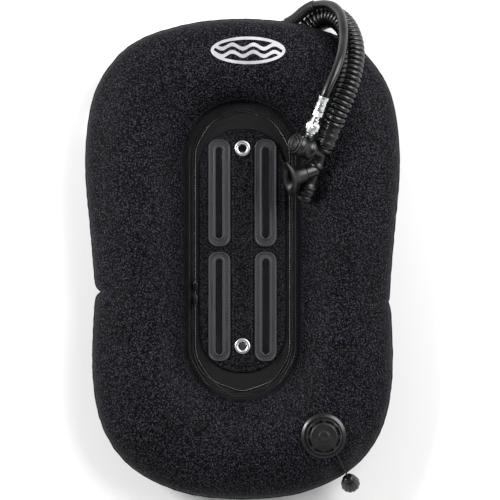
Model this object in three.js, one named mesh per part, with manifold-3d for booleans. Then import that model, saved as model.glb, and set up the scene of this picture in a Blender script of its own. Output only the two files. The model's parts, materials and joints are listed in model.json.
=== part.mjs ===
import * as THREE from 'three';
import { mergeVertices } from 'three/addons/utils/BufferGeometryUtils.js';
import Module from 'manifold-3d';

const wasm = await Module();
wasm.setup();

// ---- Driving dimensions, in mm. +Z up, the tank side lies on z = 0, +Y towards the head. ----
const gap = 0.3;

// Half width of the wing against Y, from the head end down.
const outline = [
  [339, 0], [337, 34], [335, 56], [332, 74], [323.5, 108], [315, 135], [298, 165], [281, 181],
  [264, 193], [247, 204], [230, 210], [213, 214], [196, 217], [162, 220.5], [128, 221.5],
  [95, 219.5], [61, 216], [27, 213], [-7, 210], [-41, 207.5], [-58, 207.5], [-92, 210],
  [-126, 211], [-160, 211], [-193, 208], [-210, 205], [-227, 200.5], [-244, 195], [-261, 185],
  [-278, 174], [-295, 156], [-312, 130], [-329, 87], [-332, 75], [-335, 57], [-337, 34], [-339, 0],
];
const notches = [
  { side: -1, y: -46, depth: 9, half: 9 },
  { side: 1, y: -61, depth: 3, half: 8 },
];
const bayRadius = 81.6;
const bayTop = 140.4;
const bayBottom = -118.4;

const seamLow = 45.7;
const seamHigh = 50.3;
const cellRise = 49.7;
const cellDrop = 48.5;
const fabric = 1.5;
const liner = 1;
const linerGap = 4.5;

const panelLow = 46;
const panelHigh = 50;
const slotX = 33;
const slotWidth = 9.4;
const slotSpans = { upper: [29.2, 157.4], lower: [-134.7, 0.1] };
const plateSpans = { upper: [17.5, 169.1], lower: [-144.7, 10.2] };
const plateWidth = 31;
const plateX = 32.7;
const grommetYs = { upper: 156.4, lower: -123 };
const grommetBore = 5.7;

const dump = { x: 113.2, y: -246.1, z: 100.8 };
const elbow = { x: 58, y: 296, z: 17 };
const hoseRadius = 16;
const hoseGroove = 12.5;
const hosePitch = 7.2;
const supplyRadius = 6.4;

const origin = new THREE.Vector3(125, 186, 118);
const alongInflator = new THREE.Vector3(-38.9, -101, -26).normalize();

// ---- Materials ----
const finish = (name, color, roughness, metalness = 0) =>
  new THREE.MeshStandardMaterial({ name, color, roughness, metalness });
const cordura = finish('cordura', 0x26252b, 0.9);
const lining = finish('bladder_film', 0x3a4a66, 0.6);
const webbing = finish('webbing', 0x1a1a1d, 0.85);
const slotRubber = finish('slot_rubber', 0x3c3b40, 0.6);
const hoseRubber = finish('hose_rubber', 0x161618, 0.35);
const moulded = finish('moulded_plastic', 0x1b1b1e, 0.3);
const softPart = finish('mouthpiece_rubber', 0x1d1d20, 0.6);
const plated = finish('plated_brass', 0xd8d9dc, 0.15, 1);
const stainless = finish('stainless_steel', 0xc9cacd, 0.25, 1);
const print = finish('emblem_print', 0xa9a8ad, 0.5);

const group = new THREE.Group();
group.name = 'buoyancy_wing';

function add(name, geometry, material) {
  const mesh = new THREE.Mesh(geometry, material);
  mesh.name = name;
  group.add(mesh);
}

// ---- Solids from rings of points ----
function indexed(points, faces) {
  const geometry = new THREE.BufferGeometry();
  geometry.setAttribute('position', new THREE.BufferAttribute(new Float32Array(points.flat()), 3));
  let volume = 0;
  for (const [a, b, c] of faces) {
    const [p, q, r] = [points[a], points[b], points[c]];
    volume += p[0] * (q[1] * r[2] - q[2] * r[1]) - p[1] * (q[0] * r[2] - q[2] * r[0])
      + p[2] * (q[0] * r[1] - q[1] * r[0]);
  }
  const outward = volume > 0 ? faces : faces.map(([a, b, c]) => [a, c, b]);
  geometry.setIndex(outward.flat());
  return geometry;
}

// Rings of equal count joined in order. A closed run joins the last ring to the first;
// an open one is capped, each end fanned from its middle or from the given point.
function skin(rings, closed, ends = []) {
  const count = rings[0].length;
  const points = rings.flat();
  const faces = [];
  const spans = closed ? rings.length : rings.length - 1;
  for (let i = 0; i < spans; i += 1) {
    const near = i * count;
    const far = ((i + 1) % rings.length) * count;
    for (let j = 0; j < count; j += 1) {
      const next = (j + 1) % count;
      faces.push([near + j, near + next, far + next], [near + j, far + next, far + j]);
    }
  }
  if (!closed) {
    [[0, 1], [rings.length - 1, 0]].forEach(([ring, flip], side) => {
      const middle = rings[ring].reduce((sum, p) => sum.map((v, k) => v + p[k] / count), [0, 0, 0]);
      points.push(ends[side] ?? middle);
      const tip = points.length - 1;
      for (let j = 0; j < count; j += 1) {
        const pair = [ring * count + j, ring * count + (j + 1) % count];
        faces.push(flip ? [tip, pair[1], pair[0]] : [tip, pair[0], pair[1]]);
      }
    });
  }
  return indexed(points, faces);
}

// A [radius, z] profile turned about Z: solid if it starts and ends on the axis, else a ring.
function turned(profile, sides = 20) {
  const solid = profile[0][0] === 0;
  const rows = solid ? profile.slice(1, -1) : profile;
  const rings = rows.map(([radius, z]) => Array.from({ length: sides }, (_, j) => {
    const angle = (j / sides) * 2 * Math.PI;
    return [radius * Math.cos(angle), radius * Math.sin(angle), z];
  }));
  const ends = solid ? [[0, 0, profile[0][1]], [0, 0, profile[profile.length - 1][1]]] : [];
  return skin(rings, !solid, ends);
}

const rod = (radius, low, high, sides = 20) =>
  turned([[0, low], [radius, low], [radius, high], [0, high]], sides);
const ring = (inner, outer, low, high, sides = 20) =>
  turned([[inner, low], [outer, low], [outer, high], [inner, high]], sides);

// Ellipse rings [z, rx, ry] outside then inside, making a flared tube.
function ovalTube(sections, sides = 20) {
  const rings = sections.map(([z, rx, ry]) => Array.from({ length: sides }, (_, j) => {
    const angle = (j / sides) * 2 * Math.PI;
    return [rx * Math.cos(angle), ry * Math.sin(angle), z];
  }));
  return skin(rings, true);
}

function moved(geometry, x, y, z) {
  return geometry.clone().translate(x, y, z);
}

// Local Z laid along an axis, with local X as near as it can be to a given direction.
function frameAt(position, axisZ, nearX) {
  const z = axisZ.clone().normalize();
  const x = nearX.clone().addScaledVector(z, -nearX.dot(z)).normalize();
  const y = new THREE.Vector3().crossVectors(z, x);
  return new THREE.Matrix4().makeBasis(x, y, z).setPosition(position);
}

// ---- Joining and cutting ----
function solidOf(geometry) {
  const bare = geometry.clone();
  bare.deleteAttribute('normal');
  bare.deleteAttribute('uv');
  const merged = mergeVertices(bare, 1e-4);
  return new wasm.Manifold(new wasm.Mesh({
    numProp: 3,
    vertProperties: merged.attributes.position.array,
    triVerts: merged.index.array,
  }));
}

function geometryOf(solid) {
  const mesh = solid.getMesh();
  const geometry = new THREE.BufferGeometry();
  geometry.setAttribute('position', new THREE.BufferAttribute(mesh.vertProperties, 3));
  geometry.setIndex(new THREE.BufferAttribute(mesh.triVerts, 1));
  return geometry;
}

const joined = (...parts) => geometryOf(parts.map(solidOf).reduce((sum, part) => sum.add(part)));
const cut = (base, ...tools) =>
  geometryOf(tools.map(solidOf).reduce((left, tool) => left.subtract(tool), solidOf(base)));

// ---- Tubes along a smooth path ----
function smoothPath(points) {
  const curve = new THREE.CatmullRomCurve3(points.map((p) => new THREE.Vector3(...p)), false, 'centripetal');
  curve.arcLengthDivisions = 600;
  return curve;
}

function tube(curve, steps, sides, radiusAt) {
  const frames = curve.computeFrenetFrames(steps, false);
  const rings = [];
  for (let i = 0; i <= steps; i += 1) {
    const centre = curve.getPointAt(i / steps);
    const radius = radiusAt(i);
    rings.push(Array.from({ length: sides }, (_, j) => {
      const angle = (j / sides) * 2 * Math.PI;
      return centre.clone()
        .addScaledVector(frames.normals[i], radius * Math.cos(angle))
        .addScaledVector(frames.binormals[i], radius * Math.sin(angle))
        .toArray();
    }));
  }
  return skin(rings, false);
}

function spring(radiusLow, radiusHigh, wire, low, high, turns) {
  const steps = Math.round(turns * 8);
  const points = [];
  for (let i = 0; i <= steps; i += 1) {
    const share = i / steps;
    const angle = share * turns * 2 * Math.PI;
    const radius = radiusLow + (radiusHigh - radiusLow) * share;
    points.push([radius * Math.cos(angle), radius * Math.sin(angle), low + wire + (high - low - 2 * wire) * share]);
  }
  return tube(smoothPath(points), steps, 4, () => wire);
}

// ---- The inflated cell: rays from the bay's edge out to the outline ----
function halfWidth(y) {
  for (let i = 1; i < outline.length; i += 1) {
    const [high, wideHigh] = outline[i - 1];
    const [low, wideLow] = outline[i];
    if (y >= low) {
      return wideLow + (wideHigh - wideLow) * Math.max(0, (y - low) / (high - low));
    }
  }
  return 0;
}

function notchAt(side, y) {
  return notches
    .filter((notch) => notch.side === side)
    .reduce((sum, notch) => sum + notch.depth * Math.max(0, 1 - Math.abs(y - notch.y) / notch.half), 0);
}

function reach(centreY, angle) {
  let near = bayRadius;
  let far = 400;
  for (let i = 0; i < 40; i += 1) {
    const mid = (near + far) / 2;
    const inside = Math.abs(mid * Math.cos(angle)) < halfWidth(centreY + mid * Math.sin(angle));
    near = inside ? mid : near;
    far = inside ? far : mid;
  }
  return near;
}

// One ray round the ring: the bay's edge point, its outward direction and the cell's width there.
function fan(centreY, from, to, steps) {
  return Array.from({ length: steps + 1 }, (_, i) => {
    const angle = THREE.MathUtils.degToRad(from + ((to - from) * i) / steps);
    const outwards = [Math.cos(angle), Math.sin(angle)];
    return {
      x: bayRadius * outwards[0],
      y: centreY + bayRadius * outwards[1],
      out: outwards,
      width: reach(centreY, angle) - bayRadius,
    };
  });
}

function straight(side, stations) {
  return stations.map((y) => ({
    x: side * bayRadius,
    y,
    out: [side, 0],
    width: halfWidth(y) - notchAt(side, y) - bayRadius,
  }));
}

const rays = [
  ...fan(bayTop, 0, 180, 18),
  ...straight(-1, [100, 55, 10, -24, -37, -46, -55, -68, -92]),
  ...fan(bayBottom, 180, 360, 16),
  ...straight(1, [-90, -69, -61, -53, -36, 0, 48, 96]),
];
const coarseRays = rays.filter((_, i) => i < 19 || i % 2 === 0);

// The elbow and its hose press a hollow up into the tank side.
const hollow = { path: [[50, 286], [77, 312], [100, 333]], top: 40, flat: 33, fade: 66 };

function hollowHeight(x, y, grow) {
  let nearest = 1000;
  for (let i = 1; i < hollow.path.length; i += 1) {
    const [ax, ay] = hollow.path[i - 1];
    const [bx, by] = hollow.path[i];
    const span = (bx - ax) ** 2 + (by - ay) ** 2;
    const share = Math.min(1, Math.max(0, ((x - ax) * (bx - ax) + (y - ay) * (by - ay)) / span));
    nearest = Math.min(nearest, Math.hypot(x - ax - share * (bx - ax), y - ay - share * (by - ay)));
  }
  const past = nearest - hollow.flat - grow;
  const fade = Math.min(1, Math.max(0, past / (hollow.fade - hollow.flat)));
  return hollow.top * 0.5 * (1 + Math.cos(Math.PI * fade));
}

// Points of one section, outer seam to inner seam, drawn in by an inset from the outside face.
function frontArc(ray, inset, steps) {
  const half = ray.width / 2;
  return Array.from({ length: steps + 1 }, (_, k) => {
    const angle = (k / steps) * Math.PI;
    const along = half + (half - inset) * Math.cos(angle);
    const z = seamHigh + (cellRise - inset) * Math.sin(angle);
    return [ray.x + ray.out[0] * along, ray.y + ray.out[1] * along, z];
  });
}

function backArc(ray, inset, steps) {
  const half = ray.width / 2;
  return Array.from({ length: steps + 1 }, (_, k) => {
    const angle = (k / steps) * Math.PI;
    const along = half + (half - inset) * Math.cos(angle);
    const x = ray.x + ray.out[0] * along;
    const y = ray.y + ray.out[1] * along;
    const round = seamLow - (cellDrop - inset) * Math.sin(angle);
    return [x, y, Math.min(seamLow, Math.max(round, inset, hollowHeight(x, y, 2 * inset) + inset))];
  });
}

function halfShell(arc, from, steps) {
  return skin(from.map((ray) => [...arc(ray, 0, steps), ...arc(ray, fabric, steps).reverse()]), true);
}

// A whole filled cell at an inset, its two halves closed across the seam height.
function filledCell(inset, from, steps) {
  return skin(from.map((ray) => [
    ...frontArc(ray, inset, steps),
    ...backArc(ray, inset, steps).reverse(),
  ]), true);
}

const dumpHole = moved(rod(21, 60, 130, 24), dump.x, dump.y, 0);
const elbowHole = moved(rod(14.5, 20, 62, 18), elbow.x, elbow.y, 0);
add('shell_front', cut(halfShell(frontArc, rays, 8), dumpHole), cordura);
add('shell_back', cut(halfShell(backArc, rays, 9), elbowHole), cordura);

const bladderOutside = fabric + linerGap;
add('inner_bladder', cut(
  filledCell(bladderOutside, coarseRays, 6),
  filledCell(bladderOutside + liner, coarseRays, 6),
  dumpHole,
  elbowHole,
), lining);

// Piping sewn between the two halves all round the outer seam.
const piping = [[-2.5, 46.1], [1.4, 46.6], [1.4, 49.4], [-2.5, 49.9]];
add('edge_piping', skin(rays.map((ray) => piping.map(([out, z]) => [
  ray.x + ray.out[0] * (ray.width + out),
  ray.y + ray.out[1] * (ray.width + out),
  z,
])), true), webbing);

// ---- Flat sheets: rounded outlines pushed up along Z ----
function roundedOutline(low, high, radius, into = new THREE.Shape()) {
  const [x0, y0] = low;
  const [x1, y1] = high;
  into.moveTo(x0 + radius, y0);
  into.lineTo(x1 - radius, y0);
  into.absarc(x1 - radius, y0 + radius, radius, -Math.PI / 2, 0, false);
  into.lineTo(x1, y1 - radius);
  into.absarc(x1 - radius, y1 - radius, radius, 0, Math.PI / 2, false);
  into.lineTo(x0 + radius, y1);
  into.absarc(x0 + radius, y1 - radius, radius, Math.PI / 2, Math.PI, false);
  into.lineTo(x0, y0 + radius);
  into.absarc(x0 + radius, y0 + radius, radius, Math.PI, 1.5 * Math.PI, false);
  return into;
}

function circleHole(x, y, radius) {
  const hole = new THREE.Path();
  hole.absarc(x, y, radius, 0, 2 * Math.PI, true);
  return hole;
}

const slotHole = (side, span, width) => roundedOutline(
  [side * slotX - width / 2, span[0]],
  [side * slotX + width / 2, span[1]],
  width / 2 - 0.05,
  new THREE.Path(),
);

function sheet(shape, low, high, curveSegments) {
  const geometry = new THREE.ExtrudeGeometry(shape, { depth: high - low, bevelEnabled: false, curveSegments });
  return geometry.translate(0, 0, low);
}

const sides = [-1, 1];
const everySlot = (width) => sides.flatMap((side) =>
  Object.values(slotSpans).map((span) => slotHole(side, span, width)));
const everyBolt = (radius) => Object.values(grommetYs).map((y) => circleHole(0, y, radius));

const panelShape = roundedOutline(
  [-bayRadius - 3, bayBottom - bayRadius - 3],
  [bayRadius + 3, bayTop + bayRadius + 3],
  bayRadius + 3,
);
panelShape.holes.push(...everySlot(slotWidth), ...everyBolt(7.6));
add('centre_panel', sheet(panelShape, panelLow, panelHigh, 5), webbing);

const padLow = 51;
const padHigh = 54;
const padShape = roundedOutline([-62, -161], [62, 184], 58);
padShape.holes.push(...everySlot(slotWidth + 0.8), ...everyBolt(7.6));
add('front_pad', sheet(padShape, padLow, padHigh, 5), cordura);

const stripLow = padHigh + gap;
const stripHigh = stripLow + 1;
const stripShape = roundedOutline([-15.3, -152], [15.3, 176], 4);
stripShape.holes.push(...everyBolt(7.6));
add('centre_strip', sheet(stripShape, stripLow, stripHigh, 6), webbing);

// Rubber wear plates round the four strap slots, each with a raised rim.
for (const [level, span] of Object.entries(plateSpans)) {
  for (const side of sides) {
    const low = [side * plateX - plateWidth / 2, span[0]];
    const high = [side * plateX + plateWidth / 2, span[1]];
    const base = roundedOutline(low, high, 13);
    base.holes.push(slotHole(side, slotSpans[level], slotWidth));
    const rim = roundedOutline(low, high, 13);
    rim.holes.push(roundedOutline([low[0] + 2.2, low[1] + 2.2], [high[0] - 2.2, high[1] - 2.2], 10.8, new THREE.Path()));
    const plate = joined(sheet(base, stripLow, stripLow + 1.9, 4), sheet(rim, stripLow + 1.5, stripLow + 2.6, 4));
    add(`slot_plate_${level}_${side < 0 ? 'left' : 'right'}`, plate, slotRubber);
  }
}

// Eyelets: a rolled rim with a barrel through the sheets, and a washer behind.
for (const [level, y] of Object.entries(grommetYs)) {
  const low = stripHigh + gap;
  const eyelet = turned([
    [grommetBore, 43.2], [7, 43.2], [7, low], [10.6, low], [11, low + 0.8], [10.2, low + 1.9],
    [7.4, low + 1.9], [grommetBore, low + 1],
  ], 16);
  add(`grommet_${level}`, moved(eyelet, 0, y, 0), stainless);
  add(`grommet_washer_${level}`, moved(ring(7.3, 10.8, 44.3, 45.7, 16), 0, y, 0), stainless);
}

// ---- Zip all round the bay ----
function bayBand(outer, inner, low, high) {
  const shape = roundedOutline([-outer, bayBottom - outer], [outer, bayTop + outer], outer - 0.01);
  shape.holes.push(roundedOutline([-inner, bayBottom - inner], [inner, bayTop + inner], inner - 0.01, new THREE.Path()));
  return sheet(shape, low, high, 7);
}

const zipMiddle = 66.8;
add('zip_tape_outer', bayBand(79.8, 68.3, 50.2, 50.8), webbing);
add('zip_tape_inner', bayBand(65.3, 58, 50.2, 50.8), webbing);
add('zip_teeth', bayBand(zipMiddle + 1.2, zipMiddle - 1.2, 50.2, 52.4), moulded);

const sliders = [{ level: 'upper', y: -39, tab: 1 }, { level: 'lower', y: -57, tab: -1 }];
for (const { level, y, tab } of sliders) {
  const plan = new THREE.Shape();
  plan.moveTo(-2.4, -6);
  plan.lineTo(2.4, -6);
  plan.lineTo(3.5, 3);
  plan.lineTo(2, 6);
  plan.lineTo(-2, 6);
  plan.lineTo(-3.5, 3);
  const block = cut(sheet(plan, 51.1, 55.2, 4), new THREE.BoxGeometry(3, 20, 4).translate(0, 0, 50.8));
  const laid = tab > 0 ? block : block.rotateZ(Math.PI);
  add(`zip_slider_${level}`, moved(laid, -zipMiddle, y, 0), moulded);
  const tabShape = roundedOutline([-2, -2], [2, 11], 1.9);
  tabShape.holes.push(circleHole(0, 7.5, 1));
  const plate = sheet(tabShape, 55.5, 56.7, 4);
  const pointed = tab > 0 ? plate : plate.rotateZ(Math.PI);
  add(`zip_tab_${level}`, moved(pointed, -zipMiddle, y, 0), moulded);
}

// ---- Printed emblem on the head end: an oval band with two waves across it ----
function waveBand(offset) {
  const steps = 12;
  const edge = (shift) => Array.from({ length: steps + 1 }, (_, i) => {
    const x = -44 + (88 * i) / steps;
    return new THREE.Vector2(x, offset + shift + 3 * Math.sin((x / 88) * 6 * Math.PI));
  });
  return sheet(new THREE.Shape([...edge(-2), ...edge(2).reverse()]), 60, 140, 4);
}

const oval = new THREE.Shape();
oval.absellipse(0, 0, 52, 19.5, 0, 2 * Math.PI, false, 0);
const ovalInside = new THREE.Path();
ovalInside.absellipse(0, 0, 48, 16, 0, 2 * Math.PI, true, 0);
oval.holes.push(ovalInside);
const crest = joined(sheet(oval, 60, 140, 7), waveBand(-5), waveBand(5)).translate(8, 291, 0);
const topRays = fan(bayTop, 0, 180, 18);
const layer = (outset) => solidOf(skin(topRays.map((ray) => [
  ...frontArc(ray, -outset, 8),
  [ray.x, ray.y, 40],
  [ray.x + ray.out[0] * ray.width, ray.y + ray.out[1] * ray.width, 40],
].reverse()), false));
const film = solidOf(crest).intersect(layer(0.8)).subtract(layer(0.25));
add('emblem', geometryOf(film), print);

// ---- Dump valve ----
const atDump = (geometry) => moved(geometry, dump.x, dump.y, dump.z);
const wedge = solidOf(atDump(ring(21.2, 31, -16, -gap, 24))).subtract(solidOf(filledCell(-gap, rays, 8)));
add('dump_gasket', geometryOf(wedge), softPart);
add('dump_base', atDump(turned([
  [16.5, -22], [20, -22], [20, 0], [31.2, 0], [31.2, 1.6], [28, 3], [16.5, 3],
], 24)), moulded);
add('dump_nut', atDump(ring(20.3, 27, -21.8, -18.6, 20)), moulded);

const capWall = 24.5;
const cap = turned([
  [0, 13.2], [22.6, 13.2], [23.2, 12.4], [23.2, 3.3], [capWall, 3.3], [capWall, 13.8], [23.4, 15],
  [18.8, 15.2], [18.2, 17], [7.4, 17.1], [6.6, 19.2], [0, 19.4],
], 24);
const slots = Array.from({ length: 8 }, (_, i) => {
  const from = THREE.MathUtils.degToRad(i * 45 + 5);
  const to = THREE.MathUtils.degToRad(i * 45 + 38);
  const shape = new THREE.Shape();
  shape.absarc(0, 0, 22.8, from, to, false);
  shape.absarc(0, 0, 19.3, to, from, true);
  return sheet(shape, 12.6, 20, 2);
});
const pullAxis = new THREE.Vector3(0.564, -0.819, -0.085).normalize();
const pullFrame = frameAt(new THREE.Vector3(0, 0, 9.4), pullAxis, new THREE.Vector3(0, 0, 1));
const guide = rod(1.9, 15, 35, 8).applyMatrix4(pullFrame);
add('dump_cap', atDump(cut(cap, ...slots, guide)), moulded);
add('dump_seal', atDump(ring(9, 17.8, 3.3, 4.3, 20)), softPart);
add('dump_poppet', atDump(turned([[0, 4.6], [18.2, 4.6], [18.2, 6.2], [5, 6.2], [5, 7], [0, 7]], 20)), moulded);
add('dump_spring', atDump(spring(13, 8, 0.6, 6.5, 12.9, 2.5)), stainless);

const pullAt = (distance) => new THREE.Vector3(dump.x, dump.y, dump.z + 9.4)
  .addScaledVector(pullAxis, distance).toArray();
const pullPath = smoothPath([
  pullAt(20.8), pullAt(26), pullAt(30), [135, -278.6, 105], [139.5, -288, 97.5],
  [144, -297, 87.5], [148, -305.2, 76.8],
]);
add('pull_cord', tube(pullPath, 12, 6, () => 1.25), webbing);
const knobTop = new THREE.Vector3(148.2, -305.6, 76.2);
const knobAxis = new THREE.Vector3(3.3, -9.1, -13);
add('pull_knob', turned([
  [0, 0.2], [4.6, 0.2], [6.2, 2], [6.6, 4.4], [10.2, 5.4], [13.2, 9.6], [13.6, 14.5], [12.6, 19.5], [9.6, 24],
  [6, 26.2], [0, 26.8],
], 12).applyMatrix4(frameAt(knobTop, knobAxis, new THREE.Vector3(1, 0, 0))), moulded);

// ---- Elbow under the head end ----
const outlet = new THREE.Vector3(26, 22, 0).normalize();
const elbowFrame = frameAt(new THREE.Vector3(elbow.x, elbow.y, elbow.z), outlet, new THREE.Vector3(0, 0, 1));
const elbowBarb = turned([
  [0, -2], [12.8, -2], [12.8, 14], [13.8, 14], [13.8, 18], [0, 18],
], 16).applyMatrix4(elbowFrame);
const elbowBall = new THREE.SphereGeometry(13, 14, 8).translate(elbow.x, elbow.y, elbow.z);
const elbowNeck = moved(turned([
  [0, 17], [13, 17], [13, 33], [20, 34.5], [20, 37], [13.6, 37], [13.6, 52], [0, 52],
], 18), elbow.x, elbow.y, 0);
const elbowBore = moved(rod(10, 20, 60, 12), elbow.x, elbow.y, 0);
add('elbow_body', cut(joined(elbowBall, elbowBarb, elbowNeck), elbowBore), moulded);
const elbowWedge = solidOf(moved(ring(14, 20, 37 + gap, 43, 18), elbow.x, elbow.y, 0))
  .subtract(solidOf(filledCell(-gap, rays, 9)));
add('elbow_gasket', geometryOf(elbowWedge), softPart);
add('elbow_nut', moved(ring(13.9, 21, 47, 51, 18), elbow.x, elbow.y, 0), moulded);

// ---- Inflator, in its own frame: Z along the tube away from the hose, X out along the branches ----
const branch = new THREE.Vector3(-0.7435, 0.2915, 0.6018);
const inflator = frameAt(origin, alongInflator, branch);
const onInflator = (geometry) => geometry.clone().applyMatrix4(inflator);
// A branch leaves the tube's axis at z, swept back from square by some degrees.
const alongX = (geometry, { z, sweep }) => geometry
  .rotateY(Math.PI / 2 - THREE.MathUtils.degToRad(sweep)).translate(0, 0, z);

const buttonBranch = { z: 43.3, sweep: -6 };
const mouthBranch = { z: 67.5, sweep: 30 };
const supplyX = 31;
const supplyZ = 6;
const mainTube = turned([
  [0, 0.3], [10.2, 0.3], [10.2, 34.6], [13.4, 34.8], [13.4, 38.6], [11, 40], [7.8, 43.5], [7.6, 54],
  [8.6, 57.5], [11, 59.6], [11, 63.4], [8.4, 66], [8.2, 86], [9.2, 90], [12.7, 92], [12.7, 103.6], [0, 103.6],
], 16);
const buttonHousing = alongX(turned([
  [0, 0], [8, 0], [8, 17], [10.5, 20], [13.2, 21], [13.2, 26], [12.2, 27.5], [12.2, 36], [13.4, 37.5],
  [13.4, 45], [12.6, 46], [12.6, 48.4], [0, 48.4],
], 18), buttonBranch);
const supplyBoss = turned([[0, 16], [5.6, 16], [7.6, 27], [7.6, 34], [0, 34]], 12).translate(supplyX, 0, supplyZ);
const mouthStub = alongX(turned([[0, 0], [10, 0], [10, 16.4], [8.4, 16.7], [8.4, 26], [0, 26]], 14), mouthBranch);
const mouthBore = alongX(rod(6.4, 8, 30, 12), mouthBranch);
const buttonBore = alongX(rod(10.6, 38, 60, 18), buttonBranch);
const deflateBore = rod(11.3, 95, 120, 16);
add('inflator_body', onInflator(cut(
  joined(mainTube, buttonHousing, supplyBoss, mouthStub),
  mouthBore,
  buttonBore,
  deflateBore,
)), moulded);
add('inflate_collar', onInflator(alongX(turned([
  [10.7, 48.7], [12.8, 48.7], [12.8, 50.2], [12, 51], [10.7, 51],
], 18), buttonBranch)), stainless);
add('inflate_button', onInflator(alongX(turned([
  [0, 42.8], [2.4, 42.8], [2.4, 46], [10.2, 46], [10.2, 52], [9.2, 53.2], [0, 53.8],
], 16), buttonBranch)), slotRubber);
add('inflate_spring', onInflator(alongX(spring(7.5, 7.5, 0.5, 38.2, 41.4, 1.75), buttonBranch)), stainless);
add('deflate_button', onInflator(turned([
  [0, 100.5], [10.9, 100.5], [10.9, 106.8], [12.5, 106.8], [12.5, 112.6], [11.4, 114], [0, 114.4],
], 16)), slotRubber);
add('deflate_spring', onInflator(spring(8, 8, 0.4, 95.2, 97.3, 1.25)), stainless);
add('mouthpiece', onInflator(alongX(ovalTube([
  [17, 10.8, 10.8], [22, 11.6, 11.3], [29, 13.4, 12.4], [34.5, 16.5, 13.6], [38.5, 22.5, 15.6], [41, 25.5, 16.5],
  [43.8, 25, 16], [44.4, 22.5, 13.6], [42.5, 17.5, 9.4], [38, 13, 8.6], [30, 9.4, 8.8], [17, 8.7, 8.7],
], 24), mouthBranch)), softPart);
add('hose_cuff', onInflator(ring(10.5, 14.4, 0.3, 33.1, 18)), hoseRubber);
add('hose_tie_upper', onInflator(turned([
  [14.7, 11.6], [15.7, 12.2], [15.7, 16], [14.7, 16.6],
], 18)), moulded);
add('hose_tie_lower', onInflator(turned([
  [14.7, 23.6], [15.5, 24.2], [15.5, 27.6], [14.7, 28.2],
], 18)), moulded);

// Quick coupling beside the tube: plug, body, sliding sleeve and hose ferrule.
const onSupply = (geometry) => onInflator(geometry.translate(supplyX, 0, supplyZ));
const hexagon = (across, low, high) => rod(across / Math.sqrt(3), low, high, 6);
add('coupling_plug', onSupply(turned([[0, 2.5], [4.2, 2.5], [4.2, 13], [5.4, 13.4], [5.4, 15.7], [0, 15.7]], 14)), plated);
const couplingBody = joined(
  turned([[0, -20.4], [5.6, -20.4], [5.2, -9], [6.4, -8], [6.4, 12.8], [0, 12.8]], 14),
  hexagon(13.4, -20.4, -12.5),
);
add('coupling_body', onSupply(cut(couplingBody, rod(4.5, 2, 20, 14))), plated);
add('coupling_sleeve', onSupply(turned([
  [6.7, -4], [8.2, -4], [9.1, -3], [9.1, 8.6], [7.4, 12.4], [6.7, 12.4],
], 16)), plated);
add('coupling_ferrule', onSupply(turned([
  [6.8, -41.5], [8, -41.5], [8, -37], [7.5, -36], [7.5, -21], [6.8, -21],
], 14)), plated);

// ---- Hoses ----
const hoseStart = new THREE.Vector3(0, 0, 18.6).applyMatrix4(elbowFrame);
const hoseSteer = new THREE.Vector3(0, 0, -14).applyMatrix4(inflator);
const hosePath = smoothPath([
  hoseStart.toArray(), [86, 320, 17.6], [99, 332.5, 22], [113, 341.5, 31.5], [128, 343, 45], [141, 333, 62],
  [150.5, 314, 80], [154.5, 292, 96.5], [152.8, 270, 108], [148, 247, 116], [140.5, 224, 120.5],
  hoseSteer.toArray(), origin.toArray(),
]);
const ribs = Math.round(hosePath.getLength() / hosePitch);
const hose = tube(hosePath, ribs * 2, 12, (i) => (i % 2 ? hoseRadius : hoseGroove));
add('corrugated_hose', hose, hoseRubber);
console.error(`corrugated hose ${hosePath.getLength().toFixed(1)} mm, ${ribs} ribs`);

const supplyAt = (z) => new THREE.Vector3(supplyX, 0, z + supplyZ).applyMatrix4(inflator).toArray();
const tail = new THREE.Vector3(-207, 190, 9.4);
const tailAxis = new THREE.Vector3(-1.5, -12, 0).normalize();
const tailAt = (back) => tail.clone().addScaledVector(tailAxis, -back).toArray();

// A point under the overhang of the head end, a little inside the outer seam.
function tucked(degrees, inset, z) {
  const angle = THREE.MathUtils.degToRad(degrees);
  const radius = reach(bayTop, angle) - inset;
  return [radius * Math.cos(angle), bayTop + radius * Math.sin(angle), z];
}

const supplyPath = smoothPath([
  supplyAt(-22), supplyAt(-36), supplyAt(-48), [127.5, 257, 143.5], [134, 275, 136.5],
  [138.2, 292, 125], [140.4, 309.5, 111], [139.8, 328, 98], [136.4, 344.5, 83], [126.8, 356, 68],
  [112.2, 360, 52], [98, 358, 40], [85.4, 351, 31], [75.5, 342.8, 24], [64, 336.5, 17.5],
  tucked(77, 4, 12), tucked(83, 8, 8), tucked(90, 11, 7), tucked(100, 11, 7), tucked(110, 11.5, 7),
  tucked(120, 12, 7), tucked(130, 12, 7), tucked(140, 12, 7.2), tucked(150, 12, 8), tailAt(24),
  tailAt(12), tailAt(0),
]);
add('supply_hose', tube(supplyPath, 58, 8, () => supplyRadius), hoseRubber);
console.error(`supply hose ${supplyPath.getLength().toFixed(1)} mm`);

// A ribbed protector sleeve slid over the supply hose where it passes the head end.
const sleeveFrom = 0.36;
const sleeveTo = 0.45;
const sleevePoints = Array.from({ length: 13 }, (_, i) =>
  supplyPath.getPointAt(sleeveFrom + ((sleeveTo - sleeveFrom) * i) / 12).toArray());
const sleevePath = smoothPath(sleevePoints);
const sleeveSteps = 10;
const sleeveSolid = solidOf(tube(sleevePath, sleeveSteps, 8, (i) => (i % 2 ? 8.3 : 7.7)));
const sleeveCore = solidOf(tube(supplyPath, 58, 8, () => supplyRadius + gap));
add('hose_protector', geometryOf(sleeveSolid.subtract(sleeveCore)), softPart);

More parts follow.
